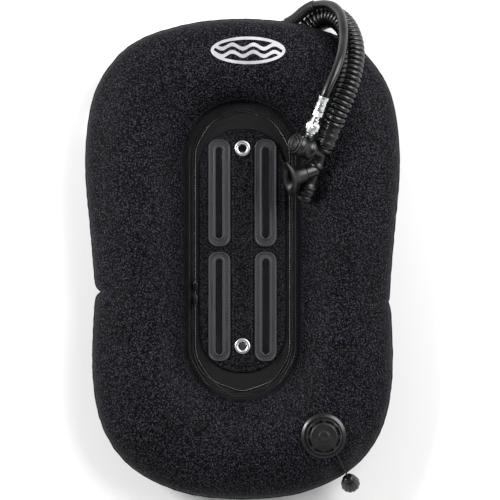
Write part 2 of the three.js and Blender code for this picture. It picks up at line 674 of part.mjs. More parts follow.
// Threaded fitting at the far end of the supply hose.
const fittingFrame = frameAt(tail, tailAxis, new THREE.Vector3(0, 0, 1));
const onFitting = (geometry) => geometry.applyMatrix4(fittingFrame);
add('supply_ferrule', onFitting(turned([
  [6.8, -17], [7.9, -17], [7.9, 1.5], [4, 1.5], [4, 0.3], [6.8, 0.3],
], 12)), plated);
add('supply_fitting', onFitting(joined(
  turned([[0, 1.8], [6, 1.8], [6, 5], [0, 5]], 12),
  hexagon(13, 4, 11),
  turned([[0, 10], [4.7, 10], [4.7, 20.5], [3.9, 21.2], [3.9, 23], [4.7, 23], [4.7, 24.5], [0, 24.5]], 12),
)), plated);
add('supply_o_ring', onFitting(ring(4.1, 5.1, 21.4, 22.8, 12)), softPart);

export default group;
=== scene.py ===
import json
from math import pi, radians

import bmesh
import bpy
import numpy as np
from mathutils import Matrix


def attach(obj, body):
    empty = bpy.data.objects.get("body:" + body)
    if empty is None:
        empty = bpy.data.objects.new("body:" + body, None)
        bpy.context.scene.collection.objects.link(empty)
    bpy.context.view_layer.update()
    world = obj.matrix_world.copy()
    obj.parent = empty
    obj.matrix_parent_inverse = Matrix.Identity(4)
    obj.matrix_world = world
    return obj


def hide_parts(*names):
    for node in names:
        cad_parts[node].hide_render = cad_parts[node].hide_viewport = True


# A donut diving wing lying on its tank side. Sizes below are in mm, in the model's own frame:
# +Z up, +Y towards the head, +X towards the inflator hose.
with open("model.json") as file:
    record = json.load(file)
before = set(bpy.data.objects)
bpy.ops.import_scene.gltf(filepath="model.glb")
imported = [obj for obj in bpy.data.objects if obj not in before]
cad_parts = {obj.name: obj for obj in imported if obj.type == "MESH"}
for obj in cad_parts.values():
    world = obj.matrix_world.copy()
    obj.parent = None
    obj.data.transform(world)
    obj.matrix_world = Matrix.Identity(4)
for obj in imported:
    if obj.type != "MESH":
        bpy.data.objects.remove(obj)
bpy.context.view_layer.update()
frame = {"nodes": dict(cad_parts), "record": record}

# Camera straight above, far enough off to look flat; across is what it sees, in mm.
view = {"height": 3200.0, "across": 705.9, "plane": 57.0, "centre": (10.6, 12.7)}
camera = bpy.data.objects.new("viewCamera", bpy.data.cameras.new("viewCamera"))
bpy.context.collection.objects.link(camera)
camera.location = (view["centre"][0] / 1000, view["centre"][1] / 1000, view["height"] / 1000)
camera.data.sensor_width = 36
camera.data.lens = 36 * (view["height"] - view["plane"]) / view["across"]
camera.data.clip_end = 20
bpy.context.scene.camera = camera


# Vectors divided by their own length.
def unit(vectors):
    return vectors / np.maximum(np.linalg.norm(vectors, axis=-1, keepdims=True), 1e-12)


# Quads of a rows by cols grid of points, wrapped round either way.
def gridFaces(rows, cols, wrapRows=False, wrapCols=False):
    i, j = np.meshgrid(np.arange(rows if wrapRows else rows - 1),
                       np.arange(cols if wrapCols else cols - 1), indexing="ij")
    iNext, jNext = (i + 1) % rows, (j + 1) % cols
    quads = np.stack([i * cols + j, iNext * cols + j, iNext * cols + jNext, i * cols + jNext], -1)
    return quads.reshape(-1, 4)


# Several (points, faces) shapes as one, with later faces counted on from earlier points.
def joinParts(*parts):
    points, faces, start = [], [], 0
    for partPoints, partFaces in parts:
        points.append(partPoints.reshape(-1, 3))
        faces.append(partFaces + start)
        start += len(points[-1])
    return np.vstack(points), np.vstack(faces)


# Puts points in mm and quads into a mesh piece that rides on a body, with a finish by its name.
# Edges over sharp degrees stay crisp, and a wall in mm thickens an open sheet inwards.
def makePiece(name, shape, look, body="wing", stands=(), slot=None, sharp=38, wall=0.0):
    points, faces = shape
    mesh = bpy.data.meshes.new(name)
    mesh.from_pydata((points.reshape(-1, 3) / 1000).tolist(), [], faces.tolist())
    bm = bmesh.new()
    bm.from_mesh(mesh)
    bmesh.ops.remove_doubles(bm, verts=bm.verts, dist=2e-6)
    bmesh.ops.dissolve_degenerate(bm, edges=bm.edges, dist=1e-7)
    bmesh.ops.recalc_face_normals(bm, faces=bm.faces)
    bm.to_mesh(mesh)
    bm.free()
    mesh.shade_smooth()
    mesh.set_sharp_from_angle(angle=radians(sharp))
    mesh.materials.append(finishes[look])
    piece = bpy.data.objects.new(name, mesh)
    bpy.context.collection.objects.link(piece)
    if wall:
        solid = piece.modifiers.new("wall", "SOLIDIFY")
        solid.thickness = wall / 1000
        solid.offset = -1
    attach(piece, body)
    if stands:
        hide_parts(*stands)
    return piece


# A profile of (radius, height) turned about the local Z axis: each point goes round a circle.
# A profile that starts off the axis is closed on itself, like a ring.
def turned(profile, sides=64):
    profile = np.asarray(profile, float)
    angle = np.linspace(0, 2 * pi, sides, endpoint=False)[:, None]
    points = np.stack([profile[:, 0] * np.cos(angle), profile[:, 0] * np.sin(angle),
                       np.broadcast_to(profile[:, 1], (sides, len(profile)))], -1)
    return points.reshape(-1, 3), gridFaces(sides, len(profile), True, profile[0, 0] > 0)


# Smooth curve through points: a cubic in each gap, whose end slopes weigh both neighbours by
# the square root of the distance between points.
def smoothPath(points, count):
    p = np.asarray(points, float)
    p = np.vstack([2 * p[0] - p[1], p, 2 * p[-1] - p[-2]])
    gaps = np.sqrt(np.linalg.norm(np.diff(p, axis=0), axis=1))
    first, middle, last = gaps[:-2, None], gaps[1:-1, None], gaps[2:, None]
    a, b, c, d = p[:-3], p[1:-2], p[2:-1], p[3:]
    slopeIn = ((b - a) / first - (c - a) / (first + middle) + (c - b) / middle) * middle
    slopeOut = ((c - b) / middle - (d - b) / (middle + last) + (d - c) / last) * middle
    t = np.linspace(0, 1, 60, endpoint=False)[None, :, None]
    cubic = (b[:, None] + slopeIn[:, None] * t
             + (3 * (c - b) - 2 * slopeIn - slopeOut)[:, None] * t ** 2
             + (2 * (b - c) + slopeIn + slopeOut)[:, None] * t ** 3)
    fine = np.vstack([cubic.reshape(-1, 3), p[-2]])
    run = np.concatenate([[0], np.cumsum(np.linalg.norm(np.diff(fine, axis=0), axis=1))])
    at = np.linspace(0, run[-1], count)
    return np.stack([np.interp(at, run, fine[:, k]) for k in range(3)], 1), run[-1]


# A round section carried along a path: centre + radius times the turning side and up vectors.
def tubeAlong(path, radius, sides=24, closed=False, squash=1.0):
    ahead = unit(np.roll(path, -1, 0) - np.roll(path, 1, 0)) if closed else unit(np.gradient(path,
        axis=0))
    side = unit(np.cross(np.array([0.0, 0, 1]), ahead))
    up = np.cross(ahead, side)
    angle = np.linspace(0, 2 * pi, sides, endpoint=False)
    radius = np.broadcast_to(radius, len(path))[:, None, None]
    ringPoints = path[:, None] + radius * (side[:, None] * np.cos(angle)[None, :, None]
                                           + up[:, None] * np.sin(angle)[None, :, None] * squash)
    faces = gridFaces(len(path), sides, closed, True)
    if closed:
        return ringPoints.reshape(-1, 3), faces
    # the two ends are closed by rings drawn in to the centre line
    capped = np.concatenate([np.repeat(path[:1, None], sides, 1), ringPoints,
                             np.repeat(path[-1:, None], sides, 1)])
    return capped.reshape(-1, 3), gridFaces(len(path) + 2, sides, False, True)


# A flat sheet cut to an outline given as a signed distance (negative inside). Border points
# are slid onto the outline, the top height is a function of place and depth, walls close it.
def cutSheet(distance, corners, step, topOf, bottom):
    (x0, y0), (x1, y1) = corners
    x, y = np.meshgrid(np.arange(x0 - step, x1 + 1.5 * step, step),
                       np.arange(y0 - step, y1 + 1.5 * step, step), indexing="ij")
    depth = distance(x, y)
    worst = np.maximum.reduce([depth[:-1, :-1], depth[1:, :-1], depth[1:, 1:], depth[:-1, 1:]])
    cells = gridFaces(*x.shape)[(worst < 0.4 * step).ravel()]
    x, y = x.ravel(), y.ravel()
    touching = np.bincount(cells.ravel(), minlength=len(x))
    border = (touching > 0) & (touching < 4)
    for _ in range(3):
        bx, by, h = x[border], y[border], 0.05
        here = distance(bx, by)
        gx = (distance(bx + h, by) - distance(bx - h, by)) / (2 * h)
        gy = (distance(bx, by + h) - distance(bx, by - h)) / (2 * h)
        size = np.maximum(gx ** 2 + gy ** 2, 0.25)
        x[border], y[border] = bx - here * gx / size, by - here * gy / size
    used = np.flatnonzero(touching)
    renumber = np.full(len(x), -1)
    renumber[used] = np.arange(len(used))
    top = renumber[cells]
    x, y = x[used], y[used]
    z = topOf(x, y, -distance(x, y))
    low = bottom(x, y) if callable(bottom) else np.full(len(x), bottom)
    edges = np.stack([top, np.roll(top, -1, 1)], -1).reshape(-1, 2)
    key, first, number = np.unique(np.sort(edges, 1), axis=0, return_index=True, return_counts=True)
    rim = edges[first[number == 1]]
    walls = np.stack([rim[:, 1], rim[:, 0], rim[:, 0] + len(x), rim[:, 1] + len(x)], -1)
    points = np.vstack([np.stack([x, y, z], 1), np.stack([x, y, low], 1)])
    return points, np.vstack([top, top[:, ::-1] + len(x), walls])


# Signed distance to a box with rounded corners: the distance outside the box shrunk by the
# corner radius, less that radius.
def roundedBox(x, y, low, high, radius):
    dx = np.abs(x - (low[0] + high[0]) / 2) - (high[0] - low[0]) / 2 + radius
    dy = np.abs(y - (low[1] + high[1]) / 2) - (high[1] - low[1]) / 2 + radius
    return np.hypot(np.maximum(dx, 0), np.maximum(dy, 0)) + np.minimum(np.maximum(dx, dy),
        0) - radius


# How far an edge of that radius has dropped at a depth in from the border.
def edgeDrop(depth, radius):
    away = radius - np.clip(depth, 0, radius)
    return radius - np.sqrt(np.maximum(radius ** 2 - away ** 2, 0))


# A soft step from 0 at low to 1 at high: three t squared less two t cubed.
def smoothStep(value, low, high):
    t = np.clip((value - low) / (high - low), 0, 1)
    return t * t * (3 - 2 * t)


# An sRGB hex colour as linear red, green, blue and a full alpha.
def toLinear(text):
    srgb = np.array([int(text[k:k + 2], 16) / 255 for k in (1, 3, 5)])
    linear = np.where(srgb <= 0.04045, srgb / 12.92, ((srgb + 0.055) / 1.055) ** 2.4)
    return (*linear.tolist(), 1.0)


# Adds one node: inputs as values or as sockets to link from, a ramp's stops as (place, hex)
# pairs, and attributes by keyword.
def addNode(tree, kind, inputs=(), stops=(), **settings):
    made = tree.nodes.new("ShaderNode" + kind)
    for key, value in settings.items():
        setattr(made, key, value)
    for key, value in dict(inputs).items():
        if isinstance(value, bpy.types.NodeSocket):
            tree.links.new(value, made.inputs[key])
        else:
            made.inputs[key].default_value = value
    if stops:
        elements = made.color_ramp.elements
        while len(elements) < len(stops):
            elements.new(0.5)
        for element, (at, colour) in zip(elements, stops):
            element.position, element.color = at, toLinear(colour)
    return made


# A material with its shader's own sockets set, and its Object coordinates to pattern on.
def newFinish(name, roughness, metallic=0.0, **sockets):
    material = bpy.data.materials.new(name)
    material.use_nodes = True
    tree = material.node_tree
    shader = tree.nodes["Principled BSDF"]
    shader.inputs["Roughness"].default_value = roughness
    shader.inputs["Metallic"].default_value = metallic
    for key, value in sockets.items():
        shader.inputs[key.replace("_", " ")].default_value = value
    place = addNode(tree, "TexCoord").outputs["Object"]
    return material, tree, shader, place


# Textured nylon with a pebbled coating: grains about 2 mm apart with a painted highlight on their
# crowns, over a fine weave that is drawn at 1.2 mm so that it shows. The eye gets a dark, dry cloth
# that sparkles with painted highlights.
def pebbledNylon(name, dark, middle, pale, grain=2.1):
    mm = {"waver": 9.0, "grain": grain, "weave": 1.2, "patch": 70.0, "deep": 0.9, "weaveDeep": 0.4}
    material, tree, shader, place = newFinish(name, 0.62, Specular_IOR_Level=0.06)
    waver = addNode(tree, "TexNoise", {"Vector": place, "Scale": 1000 / mm["waver"], "Detail": 2.0})
    moved = addNode(tree, "Mix", {"Factor": 0.0035, 4: place, 5: waver.outputs["Color"]},
                    data_type="VECTOR")
    cells = addNode(tree, "TexVoronoi", {"Vector": moved.outputs[1], "Scale": 1000 / mm["grain"]},
                    feature="SMOOTH_F1")
    weave = addNode(tree, "TexNoise", {"Vector": place, "Scale": 1000 / mm["weave"],
                                       "Detail": 3.0, "Roughness": 0.7})
    patch = addNode(tree, "TexNoise", {"Vector": place, "Scale": 1000 / mm["patch"], "Detail": 3.0})
    # The pale colour on the grains' crowns is a painted highlight; the same height also drives the
    # bump.
    crown = addNode(tree, "Math", {0: cells.outputs["Distance"], 1: -0.9}, operation="MULTIPLY")
    crownHeightAndHighlight = addNode(tree, "Math", {0: crown.outputs[0], 1: 0.72}, operation="ADD")
    speck = addNode(tree, "Math", {0: weave.outputs["Fac"], 1: 0.6, 2: 0.4},
                    operation="MULTIPLY_ADD")
    both = addNode(tree, "Math", {0: crownHeightAndHighlight.outputs[0], 1: speck.outputs[0]}, operation="MULTIPLY")
    wide = addNode(tree, "Math", {0: patch.outputs["Fac"], 1: 0.08}, operation="MULTIPLY")
    total = addNode(tree, "Math", {0: both.outputs[0], 1: wide.outputs[0]}, operation="ADD")
    colour = addNode(tree, "ValToRGB", {"Fac": total.outputs[0]},
                     [(0.16, dark), (0.3, middle), (0.5, pale)])
    under = addNode(tree, "Bump", {"Height": crownHeightAndHighlight.outputs[0], "Distance": mm["deep"] / 1000,
                                   "Strength": 0.5})
    raised = addNode(tree, "Bump", {"Height": weave.outputs["Fac"], "Strength": 0.4,
                                    "Distance": mm["weaveDeep"] / 1000,
                                    "Normal": under.outputs["Normal"]})
    tree.links.new(colour.outputs["Color"], shader.inputs["Base Color"])
    tree.links.new(raised.outputs["Normal"], shader.inputs["Normal"])
    return material


# Woven polyester tape: two crossed bands of threads 1.6 mm apart, matte with dark gaps. The
# bands' scale is turns, so it is divided by a full circle's 6.28.
def wovenTape(name, dark, pale):
    mm = {"thread": 1.6, "lint": 2.5, "threadDeep": 0.3, "lintDeep": 0.2}
    material, tree, shader, place = newFinish(name, 0.75, Specular_IOR_Level=0.25)
    bands = {"Vector": place, "Scale": 1000 / mm["thread"] / 6.28, "Distortion": 0.6, "Detail": 1.0}
    across = addNode(tree, "TexWave", bands, bands_direction="X")
    along = addNode(tree, "TexWave", bands, bands_direction="Y")
    weave = addNode(tree, "Math", {0: across.outputs["Fac"], 1: along.outputs["Fac"]},
                    operation="MULTIPLY")
    lint = addNode(tree, "TexNoise", {"Vector": place, "Scale": 1000 / mm["lint"], "Detail": 4.0})
    mixed = addNode(tree, "Math", {0: weave.outputs[0], 1: lint.outputs["Fac"]},
                    operation="MULTIPLY")
    colour = addNode(tree, "ValToRGB", {"Fac": mixed.outputs[0]}, [(0.05, dark), (0.5, pale)])
    under = addNode(tree, "Bump", {"Height": weave.outputs[0], "Strength": 0.5,
                                   "Distance": mm["threadDeep"] / 1000})
    raised = addNode(tree, "Bump", {"Height": lint.outputs["Fac"], "Strength": 0.3,
                                    "Distance": mm["lintDeep"] / 1000,
                                    "Normal": under.outputs["Normal"]})
    tree.links.new(colour.outputs["Color"], shader.inputs["Base Color"])
    tree.links.new(raised.outputs["Normal"], shader.inputs["Normal"])
    return material


# Moulded rubber, plastic or film: an even colour with faint flow patches and a fine
# spark-eroded grain, a little glossier and duller from place to place.
def mouldedFinish(name, dark, pale, roughness, grain=0.9, depth=0.12):
    material, tree, shader, place = newFinish(name, roughness)
    patch = addNode(tree, "TexNoise", {"Vector": place, "Scale": 1000 / 22.0, "Detail": 4.0})
    fine = addNode(tree, "TexNoise", {"Vector": place, "Scale": 1000 / grain, "Detail": 2.0})
    colour = addNode(tree, "ValToRGB", {"Fac": patch.outputs["Fac"]}, [(0.3, dark), (0.72, pale)])
    spread = addNode(tree, "MapRange", {"Value": patch.outputs["Fac"],
                                        "From Min": 0.3, "From Max": 0.7,
                                        "To Min": roughness - 0.06, "To Max": roughness + 0.08})
    raised = addNode(tree, "Bump", {"Height": fine.outputs["Fac"], "Distance": depth / 1000,
                                    "Strength": 0.35})
    tree.links.new(colour.outputs["Color"], shader.inputs["Base Color"])
    tree.links.new(spread.outputs["Result"], shader.inputs["Roughness"])
    tree.links.new(raised.outputs["Normal"], shader.inputs["Normal"])
    return material


# Bright metal: polished, with fine turning marks and a few duller handled patches.
def brightMetal(name, clean, worn, roughness):
    material, tree, shader, place = newFinish(name, roughness, 1.0)
    marks = addNode(tree, "TexNoise", {"Vector": place, "Scale": 1000 / 1.5, "Detail": 2.0})
    patch = addNode(tree, "TexNoise", {"Vector": place, "Scale": 1000 / 9.0, "Detail": 3.0})
    colour = addNode(tree, "ValToRGB", {"Fac": patch.outputs["Fac"]}, [(0.35, worn), (0.6, clean)])
    spread = addNode(tree, "MapRange", {"Value": patch.outputs["Fac"],
                                        "From Min": 0.3, "From Max": 0.7,
                                        "To Min": roughness + 0.1, "To Max": roughness})
    raised = addNode(tree, "Bump", {"Height": marks.outputs["Fac"], "Distance": 0.05 / 1000,
                                    "Strength": 0.2})
    tree.links.new(colour.outputs["Color"], shader.inputs["Base Color"])
    tree.links.new(spread.outputs["Result"], shader.inputs["Roughness"])
    tree.links.new(raised.outputs["Normal"], shader.inputs["Normal"])
    return material


finishes = {
    # The last colour of each pebbled nylon is the painted highlight on its grain crowns.
    "cordura": pebbledNylon("pebbledNylon", "#020203", "#0e0d11", "#403d46"),
    "padNylon": pebbledNylon("padNylon", "#020202", "#0e0d10", "#33313a", 1.9),
    "webbing": wovenTape("polyesterWebbing", "#020202", "#0c0c0e"),
    "fold": mouldedFinish("foldedNylon", "#070708", "#0f0f12", 0.38),
    "cap": mouldedFinish("capNylon", "#0e0e10", "#161618", 0.36),
    "strip": wovenTape("stripWebbing", "#040405", "#34323a"),
    "slot_rubber": mouldedFinish("wearPlateRubber", "#17171a", "#222126", 0.55, 1.1, 0.08),
    "hose_rubber": mouldedFinish("hoseRubber", "#020202", "#060607", 0.26),
    "moulded_plastic": mouldedFinish("mouldedNylon", "#040405", "#09090b", 0.3),
    "mouthpiece_rubber": mouldedFinish("siliconeRubber", "#040405", "#0a0a0b", 0.42),
    "plated_brass": brightMetal("chromedBrass", "#f2f3f3", "#d4d6d9", 0.2),
    "stainless_steel": brightMetal("polishedSteel", "#eeeff0", "#d0d1d5", 0.3),
    "emblem_print": mouldedFinish("printedFilm", "#98979c", "#bdbcc2", 0.5),
    "bladder_film": mouldedFinish("bladderFilm", "#26344e", "#35466a", 0.35),
    "thread": mouldedFinish("bondedThread", "#060607", "#101013", 0.6),
}
for name, holder in frame["nodes"].items():
    slotName = next(s["material_slot"] for s in frame["record"]["subparts"] if s["node"] == name)
    holder.data.materials.clear()
    holder.data.materials.append(finishes[slotName])
print("finishes made")

# Air cell: the outer seam's half outline as (Y, X) from head to foot, and the bay it goes round.
cell = {
    "outline": [
        (339, 0), (337, 34), (335, 56), (332, 74), (323.5, 108), (315, 135), (298, 165),
        (281, 181), (264, 193), (247, 204), (230, 210), (213, 214), (196, 217), (162, 220.5),
        (128, 221.5), (95, 219.5), (61, 216), (27, 213), (-7, 210), (-41, 207.5), (-58, 207.5),
        (-92, 210), (-126, 211), (-160, 211), (-193, 208), (-210, 205), (-227, 200.5),
        (-244, 195), (-261, 185), (-278, 174), (-295, 156), (-312, 130), (-329, 87), (-332, 75),
        (-335, 57), (-337, 34), (-339, 0)],
    "bayRadius": 81.6, "bayTop": 140.4, "bayBottom": -118.4,
    "seamLow": 45.7, "seamHigh": 50.3, "rise": 49.7, "drop": 48.5,
    "notches": [(-1, -46, 9, 8), (1, -61, 3, 7)],  # side, Y, depth, half height
    "hollow": {"path": [(50, 286), (77, 312), (100, 333)], "top": 40, "flat": 33, "fade": 66},
    "raysPerArc": 150, "raysPerSide": 110, "across": 46,
    "wall": 1.3, "fill": 0.9, "frontTop": 100.2, "valveFlat": (32, 62),
}
dump = {"x": 113.2, "y": -246.1, "z": 100.8}
outlineY, outlineX = np.array(cell["outline"])[::-1].T


# Half the outline's width at a Y, read in a straight line between its points.
def halfWidth(y):
    return np.interp(y, outlineY, outlineX, left=0, right=0)


# Distance from an arc's centre to the outline at an angle, by halving the gap.
def reach(centreY, angle):
    near, far = np.full(angle.shape, cell["bayRadius"]), np.full(angle.shape, 400.0)
    for _ in range(40):
        middle = (near + far) / 2
        inside = np.abs(middle * np.cos(angle)) < halfWidth(centreY + middle * np.sin(angle))
        near, far = np.where(inside, middle, near), np.where(inside, far, middle)
    return near


# A closed run of values averaged under a bell-shaped window.
def smoothRound(values, window):
    kernel = np.hanning(window + 2)[1:-1]
    wrapped = np.concatenate([values[-window:], values, values[:window]])
    return np.convolve(wrapped, kernel / kernel.sum(), "same")[window:-window]


# The rays: start on the bay's edge, outward direction, and width to the outer seam.
radius = cell["bayRadius"]
arc = np.linspace(0, pi, cell["raysPerArc"], endpoint=False)
down = np.linspace(cell["bayTop"], cell["bayBottom"], cell["raysPerSide"], endpoint=False)
angles = [arc, pi + 0 * down, pi + arc, 0 * down]
up = np.linspace(cell["bayBottom"], cell["bayTop"], cell["raysPerSide"], endpoint=False)
centres = [cell["bayTop"] + 0 * arc, down, cell["bayBottom"] + 0 * arc, up]
rayAngle, rayCentre = np.concatenate(angles), np.concatenate(centres)
rayOut = np.stack([np.cos(rayAngle), np.sin(rayAngle)], 1)
rayStart = np.stack([0 * rayCentre, rayCentre], 1) + radius * rayOut
straight = np.concatenate([0 * arc, 1 + 0 * down, 0 * arc, 1 + 0 * down]) > 0
rayWidth = np.where(straight, halfWidth(rayCentre), reach(rayCentre, rayAngle)) - radius
rayWidth = smoothRound(rayWidth, 15)
notchDepth = 0 * rayWidth
for side, y, depth, half in cell["notches"]:
    near = straight & (np.sign(rayOut[:, 0]) == side)
    notchDepth += near * depth * np.exp(-np.abs((rayCentre - y) / half * 1.5) ** 1.3)
rimPoint = rayStart + rayOut * (rayWidth - notchDepth)[:, None]
rimRun = np.cumsum(np.linalg.norm(np.diff(np.vstack([rimPoint[-1:], rimPoint]), axis=0), axis=1))


# Puckers along a sewn edge: a sum of waves with uneven spacing and strength, -1 to 1.
def puckers(run, spacings, seed):
    rng = np.random.default_rng(seed)
    total, length = 0 * run, run[-1]
    for spacing in spacings:
        waves = round(length / spacing)
        drift = 0.9 * np.sin(2 * pi * run / length * rng.integers(2, 7) + rng.uniform(0, 6))
        fade = 0.55 + 0.45 * np.sin(2 * pi * run / length * rng.integers(3, 9) + rng.uniform(0, 6))
        total = total + fade * np.sin(2 * pi * run / length * waves + drift + rng.uniform(0, 6))
    return total / len(spacings)


outerPucker = puckers(rimRun, [17, 26, 39], 3)
innerPucker = puckers(rimRun, [14, 23, 31], 5)


# The hollow over the hose and elbow: flat near its path, then half a cosine down to nothing.
def hollowHeight(x, y):
    path = np.array(cell["hollow"]["path"], float)
    nearest = np.full(x.shape, 1e3)
    for (ax, ay), (bx, by) in zip(path[:-1], path[1:]):
        square = (bx - ax) ** 2 + (by - ay) ** 2
        share = np.clip(((x - ax) * (bx - ax) + (y - ay) * (by - ay)) / square, 0, 1)
        away = np.hypot(x - ax - share * (bx - ax), y - ay - share * (by - ay))
        nearest = np.minimum(nearest, away)
    flat, far = cell["hollow"]["flat"], cell["hollow"]["fade"]
    fade = np.clip((nearest - flat) / (far - flat), 0, 1)
    return cell["hollow"]["top"] * 0.5 * (1 + np.cos(pi * fade))


# One half of the cell: from outer seam to bay edge, half + half cos(turn) along the ray and
# rise times sin(turn) to a power under one, so the fabric stands full, with puckers at both seams.
def cellSheet(front):
    turn = np.linspace(0, pi, cell["across"] + 1)[None, :]
    nearRim = np.exp(-(turn / 0.42) ** 1.4)
    nearBay = np.exp(-((pi - turn) / 0.4) ** 1.4)
    creaseFade = np.exp(-(turn / 0.75) ** 1.5)
    width = rayWidth[:, None] - notchDepth[:, None] * np.exp(-(turn / 0.6) ** 2)
    along = width / 2 * (1 + np.cos(turn))
    along = along - 0.9 * (1 + outerPucker[:, None]) * nearRim * np.sin(turn) ** 0.3
    x = rayStart[:, :1] + rayOut[:, :1] * along
    y = rayStart[:, 1:] + rayOut[:, 1:] * along
    swell = np.sin(turn) ** 0.93
    lumps = (np.sin(rimRun[:, None] / 61 + 1.3 * turn)
             + np.sin(rimRun[:, None] / 37 - 2.1 * turn + 1)) * 0.5
    wrinkle = outerPucker[:, None] * nearRim * np.sin(turn) ** 0.5 * 2.6
    wrinkle = wrinkle + innerPucker[:, None] * nearBay * np.sin(turn) ** 0.6 * 1.4
    crease = notchDepth[:, None] * creaseFade * np.sin(turn) ** 0.5 * 0.9
    if not front:
        z = cell["seamLow"] - cell["drop"] * swell - wrinkle + crease
        z = np.maximum(z, 0.0)
        return x, y, np.minimum(cell["seamLow"], np.maximum(z, hollowHeight(x, y)))
    lumps = lumps * 1.1 * np.sin(turn) ** 2
    z = cell["seamHigh"] + (cell["rise"] - 1.2) * swell + lumps + wrinkle - crease
    away = np.hypot(x - dump["x"], y - dump["y"])
    lift = 1 - smoothStep(away, *cell["valveFlat"])
    z = z + (dump["z"] - 0.5 - z) * lift
    return x, y, np.clip(z, cell["seamHigh"], cell["frontTop"])


rows = len(rayWidth)
for front, node in ((True, "shell_front"), (False, "shell_back")):
    x, y, z = cellSheet(front)
    shape = (np.stack([x, y, z], -1).reshape(-1, 3), gridFaces(rows, cell["across"] + 1, True))
    label = "cellFront" if front else "cellBack"
    sheet = makePiece(label, shape, "cordura", stands=[node], wall=cell["wall"], sharp=60)
    # Solidify goes inwards: the open sheet's faces are turned to look away from the cell's middle.
    mesh = sheet.data
    middle = mesh.polygons[len(mesh.polygons) // 2]
    if (middle.normal.z > 0) != front:
        mesh.flip_normals()
frontX, frontY, frontZ = cellSheet(True)
print("air cell sewn")

# Piping bound round the outer seam, pinched where the fabric puckers.
piping = {"radius": 2.3, "pinch": 0.35}
pipePath = np.column_stack([rimPoint + rayOut * (-0.6 - 0.5 * outerPucker[:, None]),
                            48 + 0.7 * outerPucker])
bandRadius = piping["radius"] + piping["pinch"] * innerPucker
makePiece("edgeBinding", tubeAlong(pipePath, bandRadius, 12, closed=True, squash=0.95), "webbing",
    stands=["edge_piping"])


# Short capsules laid end to end: a small template of rings scaled along each path step.
def stitchRow(path, up, length=3.0, space=1.6, thick=0.42):
    run = np.concatenate([[0], np.cumsum(np.linalg.norm(np.diff(path, axis=0), axis=1))])
    count = max(1, int(run[-1] / (length + space)))
    at = (np.arange(count) + 0.5) * run[-1] / count
    centre = np.stack([np.interp(at, run, path[:, k]) for k in range(3)], 1)
    ahead = unit(np.stack([np.interp(at + 0.5, run, path[:, k]) - np.interp(at - 0.5, run,
        path[:, k]) for k in range(3)], 1))
    side = unit(np.cross(up, ahead))
    lift = np.cross(ahead, side)
    stations = np.array([[-0.5, 0], [-0.45, 0.7], [-0.25, 1], [0.25, 1], [0.45, 0.7], [0.5, 0]])
    angle = np.linspace(0, 2 * pi, 6, endpoint=False)
    along = ahead[:, None, None] * (stations[:, 0] * length)[None, :, None, None]
    ring = (side[:, None, None] * np.cos(angle)[None, None, :, None]
            + lift[:, None, None] * np.sin(angle)[None, None, :, None] * 0.8)
    points = centre[:, None, None] + along + ring * (stations[:, 1] * thick)[None, :, None, None]
    faces = gridFaces(6, 6, False, True)[None] + (np.arange(count) * 36)[:, None, None]
    return points.reshape(-1, 3), faces.reshape(-1, 4)


# A flat line through points at one height, at even steps.
def levelLine(points, z, count=400):
    line = np.asarray(points, float)
    run = np.concatenate([[0], np.cumsum(np.linalg.norm(np.diff(line, axis=0), axis=1))])
    at = np.linspace(0, run[-1], count)
    flat = np.stack([np.interp(at, run, line[:, k]) for k in range(2)], 1)
    return np.column_stack([flat, np.full(count, z)])


# A closed run round a stadium of that radius about the bay's two arc centres.
def bayLine(around, z, wave=0.0):
    arcs = np.linspace(0, pi, 160)
    ripple = around + wave * np.sin(arcs * 9) * np.sin(arcs)
    top = np.stack([ripple * np.cos(arcs), cell["bayTop"] + ripple * np.sin(arcs)], 1)
    low = np.stack([-ripple * np.cos(arcs), cell["bayBottom"] - ripple * np.sin(arcs)], 1)
    loop = np.vstack([top, low, top[:1]])
    return levelLine(loop, z, 1400)


# Bay in the middle: pad, strip, wear plates and the zip round them.
bay = {"slotX": 33, "slotWidth": 9.4, "slots": {"upper": (29.2, 157.4), "lower": (-134.7, 0.1)},
       "plates": {"upper": (17.5, 169.1), "lower": (-144.7, 10.2)}, "plateX": 32.7, "plateWide": 31,
       "bolts": (156.4, -123.0)}


# Signed distance to the nearest of the four strap slots, each grown by that much.
def slotDistance(x, y, grow):
    nearest = np.full(np.shape(x), 1e3)
    for side in (-1, 1):
        for low, high in bay["slots"].values():
            half = bay["slotWidth"] / 2 + grow
            nearest = np.minimum(nearest, roundedBox(x, y, (side * bay["slotX"] - half, low - grow),
                (side * bay["slotX"] + half, high + grow), half))
    return nearest


# Signed distance to the nearer of the two bolt holes.
def boltDistance(x, y, radius):
    return np.minimum.reduce([np.hypot(x, y - at) for at in bay["bolts"]]) - radius


pad = {"low": (-62, -161), "high": (62, 184), "corner": 58, "top": 54.0, "bottom": 51.0,
       "edge": 2.4,
       "channel": (6.5, 1.1, 0.8), "clear": 0.6, "fill": 0.35}  # channel: how far in, width, depth
boltClear = 7.6


# Pad: a rounded box less the strap slots and bolt holes.
def padDistance(x, y):
    outer = roundedBox(x, y, pad["low"], pad["high"], pad["corner"])
    return np.maximum.reduce([outer, -slotDistance(x, y, pad["clear"]),
        -boltDistance(x, y, boltClear)])


# Its top: a rounded edge, a sewn channel shaped like a bell, and a faint swell of two sines.
def padTop(x, y, depth):
    outer = -roundedBox(x, y, pad["low"], pad["high"], pad["corner"])
    crown = edgeDrop(outer, pad["edge"])
    inset, wide, deep = pad["channel"]
    channel = deep * np.exp(-((outer - inset) / wide) ** 2)
    return pad["top"] - crown - channel + 0.12 * np.sin(x / 7) * np.sin(y / 9) - edgeDrop(depth,
        0.6)


frontPad = makePiece("frontPad", cutSheet(padDistance, (pad["low"], pad["high"]), 1.7, padTop,
    pad["bottom"]), "padNylon", stands=["front_pad"], sharp=50)


strip = {"low": (-15.3, -152), "high": (15.3, 176), "corner": 4, "top": 55.3, "bottom": 54.3,
         "seam": 12.6}


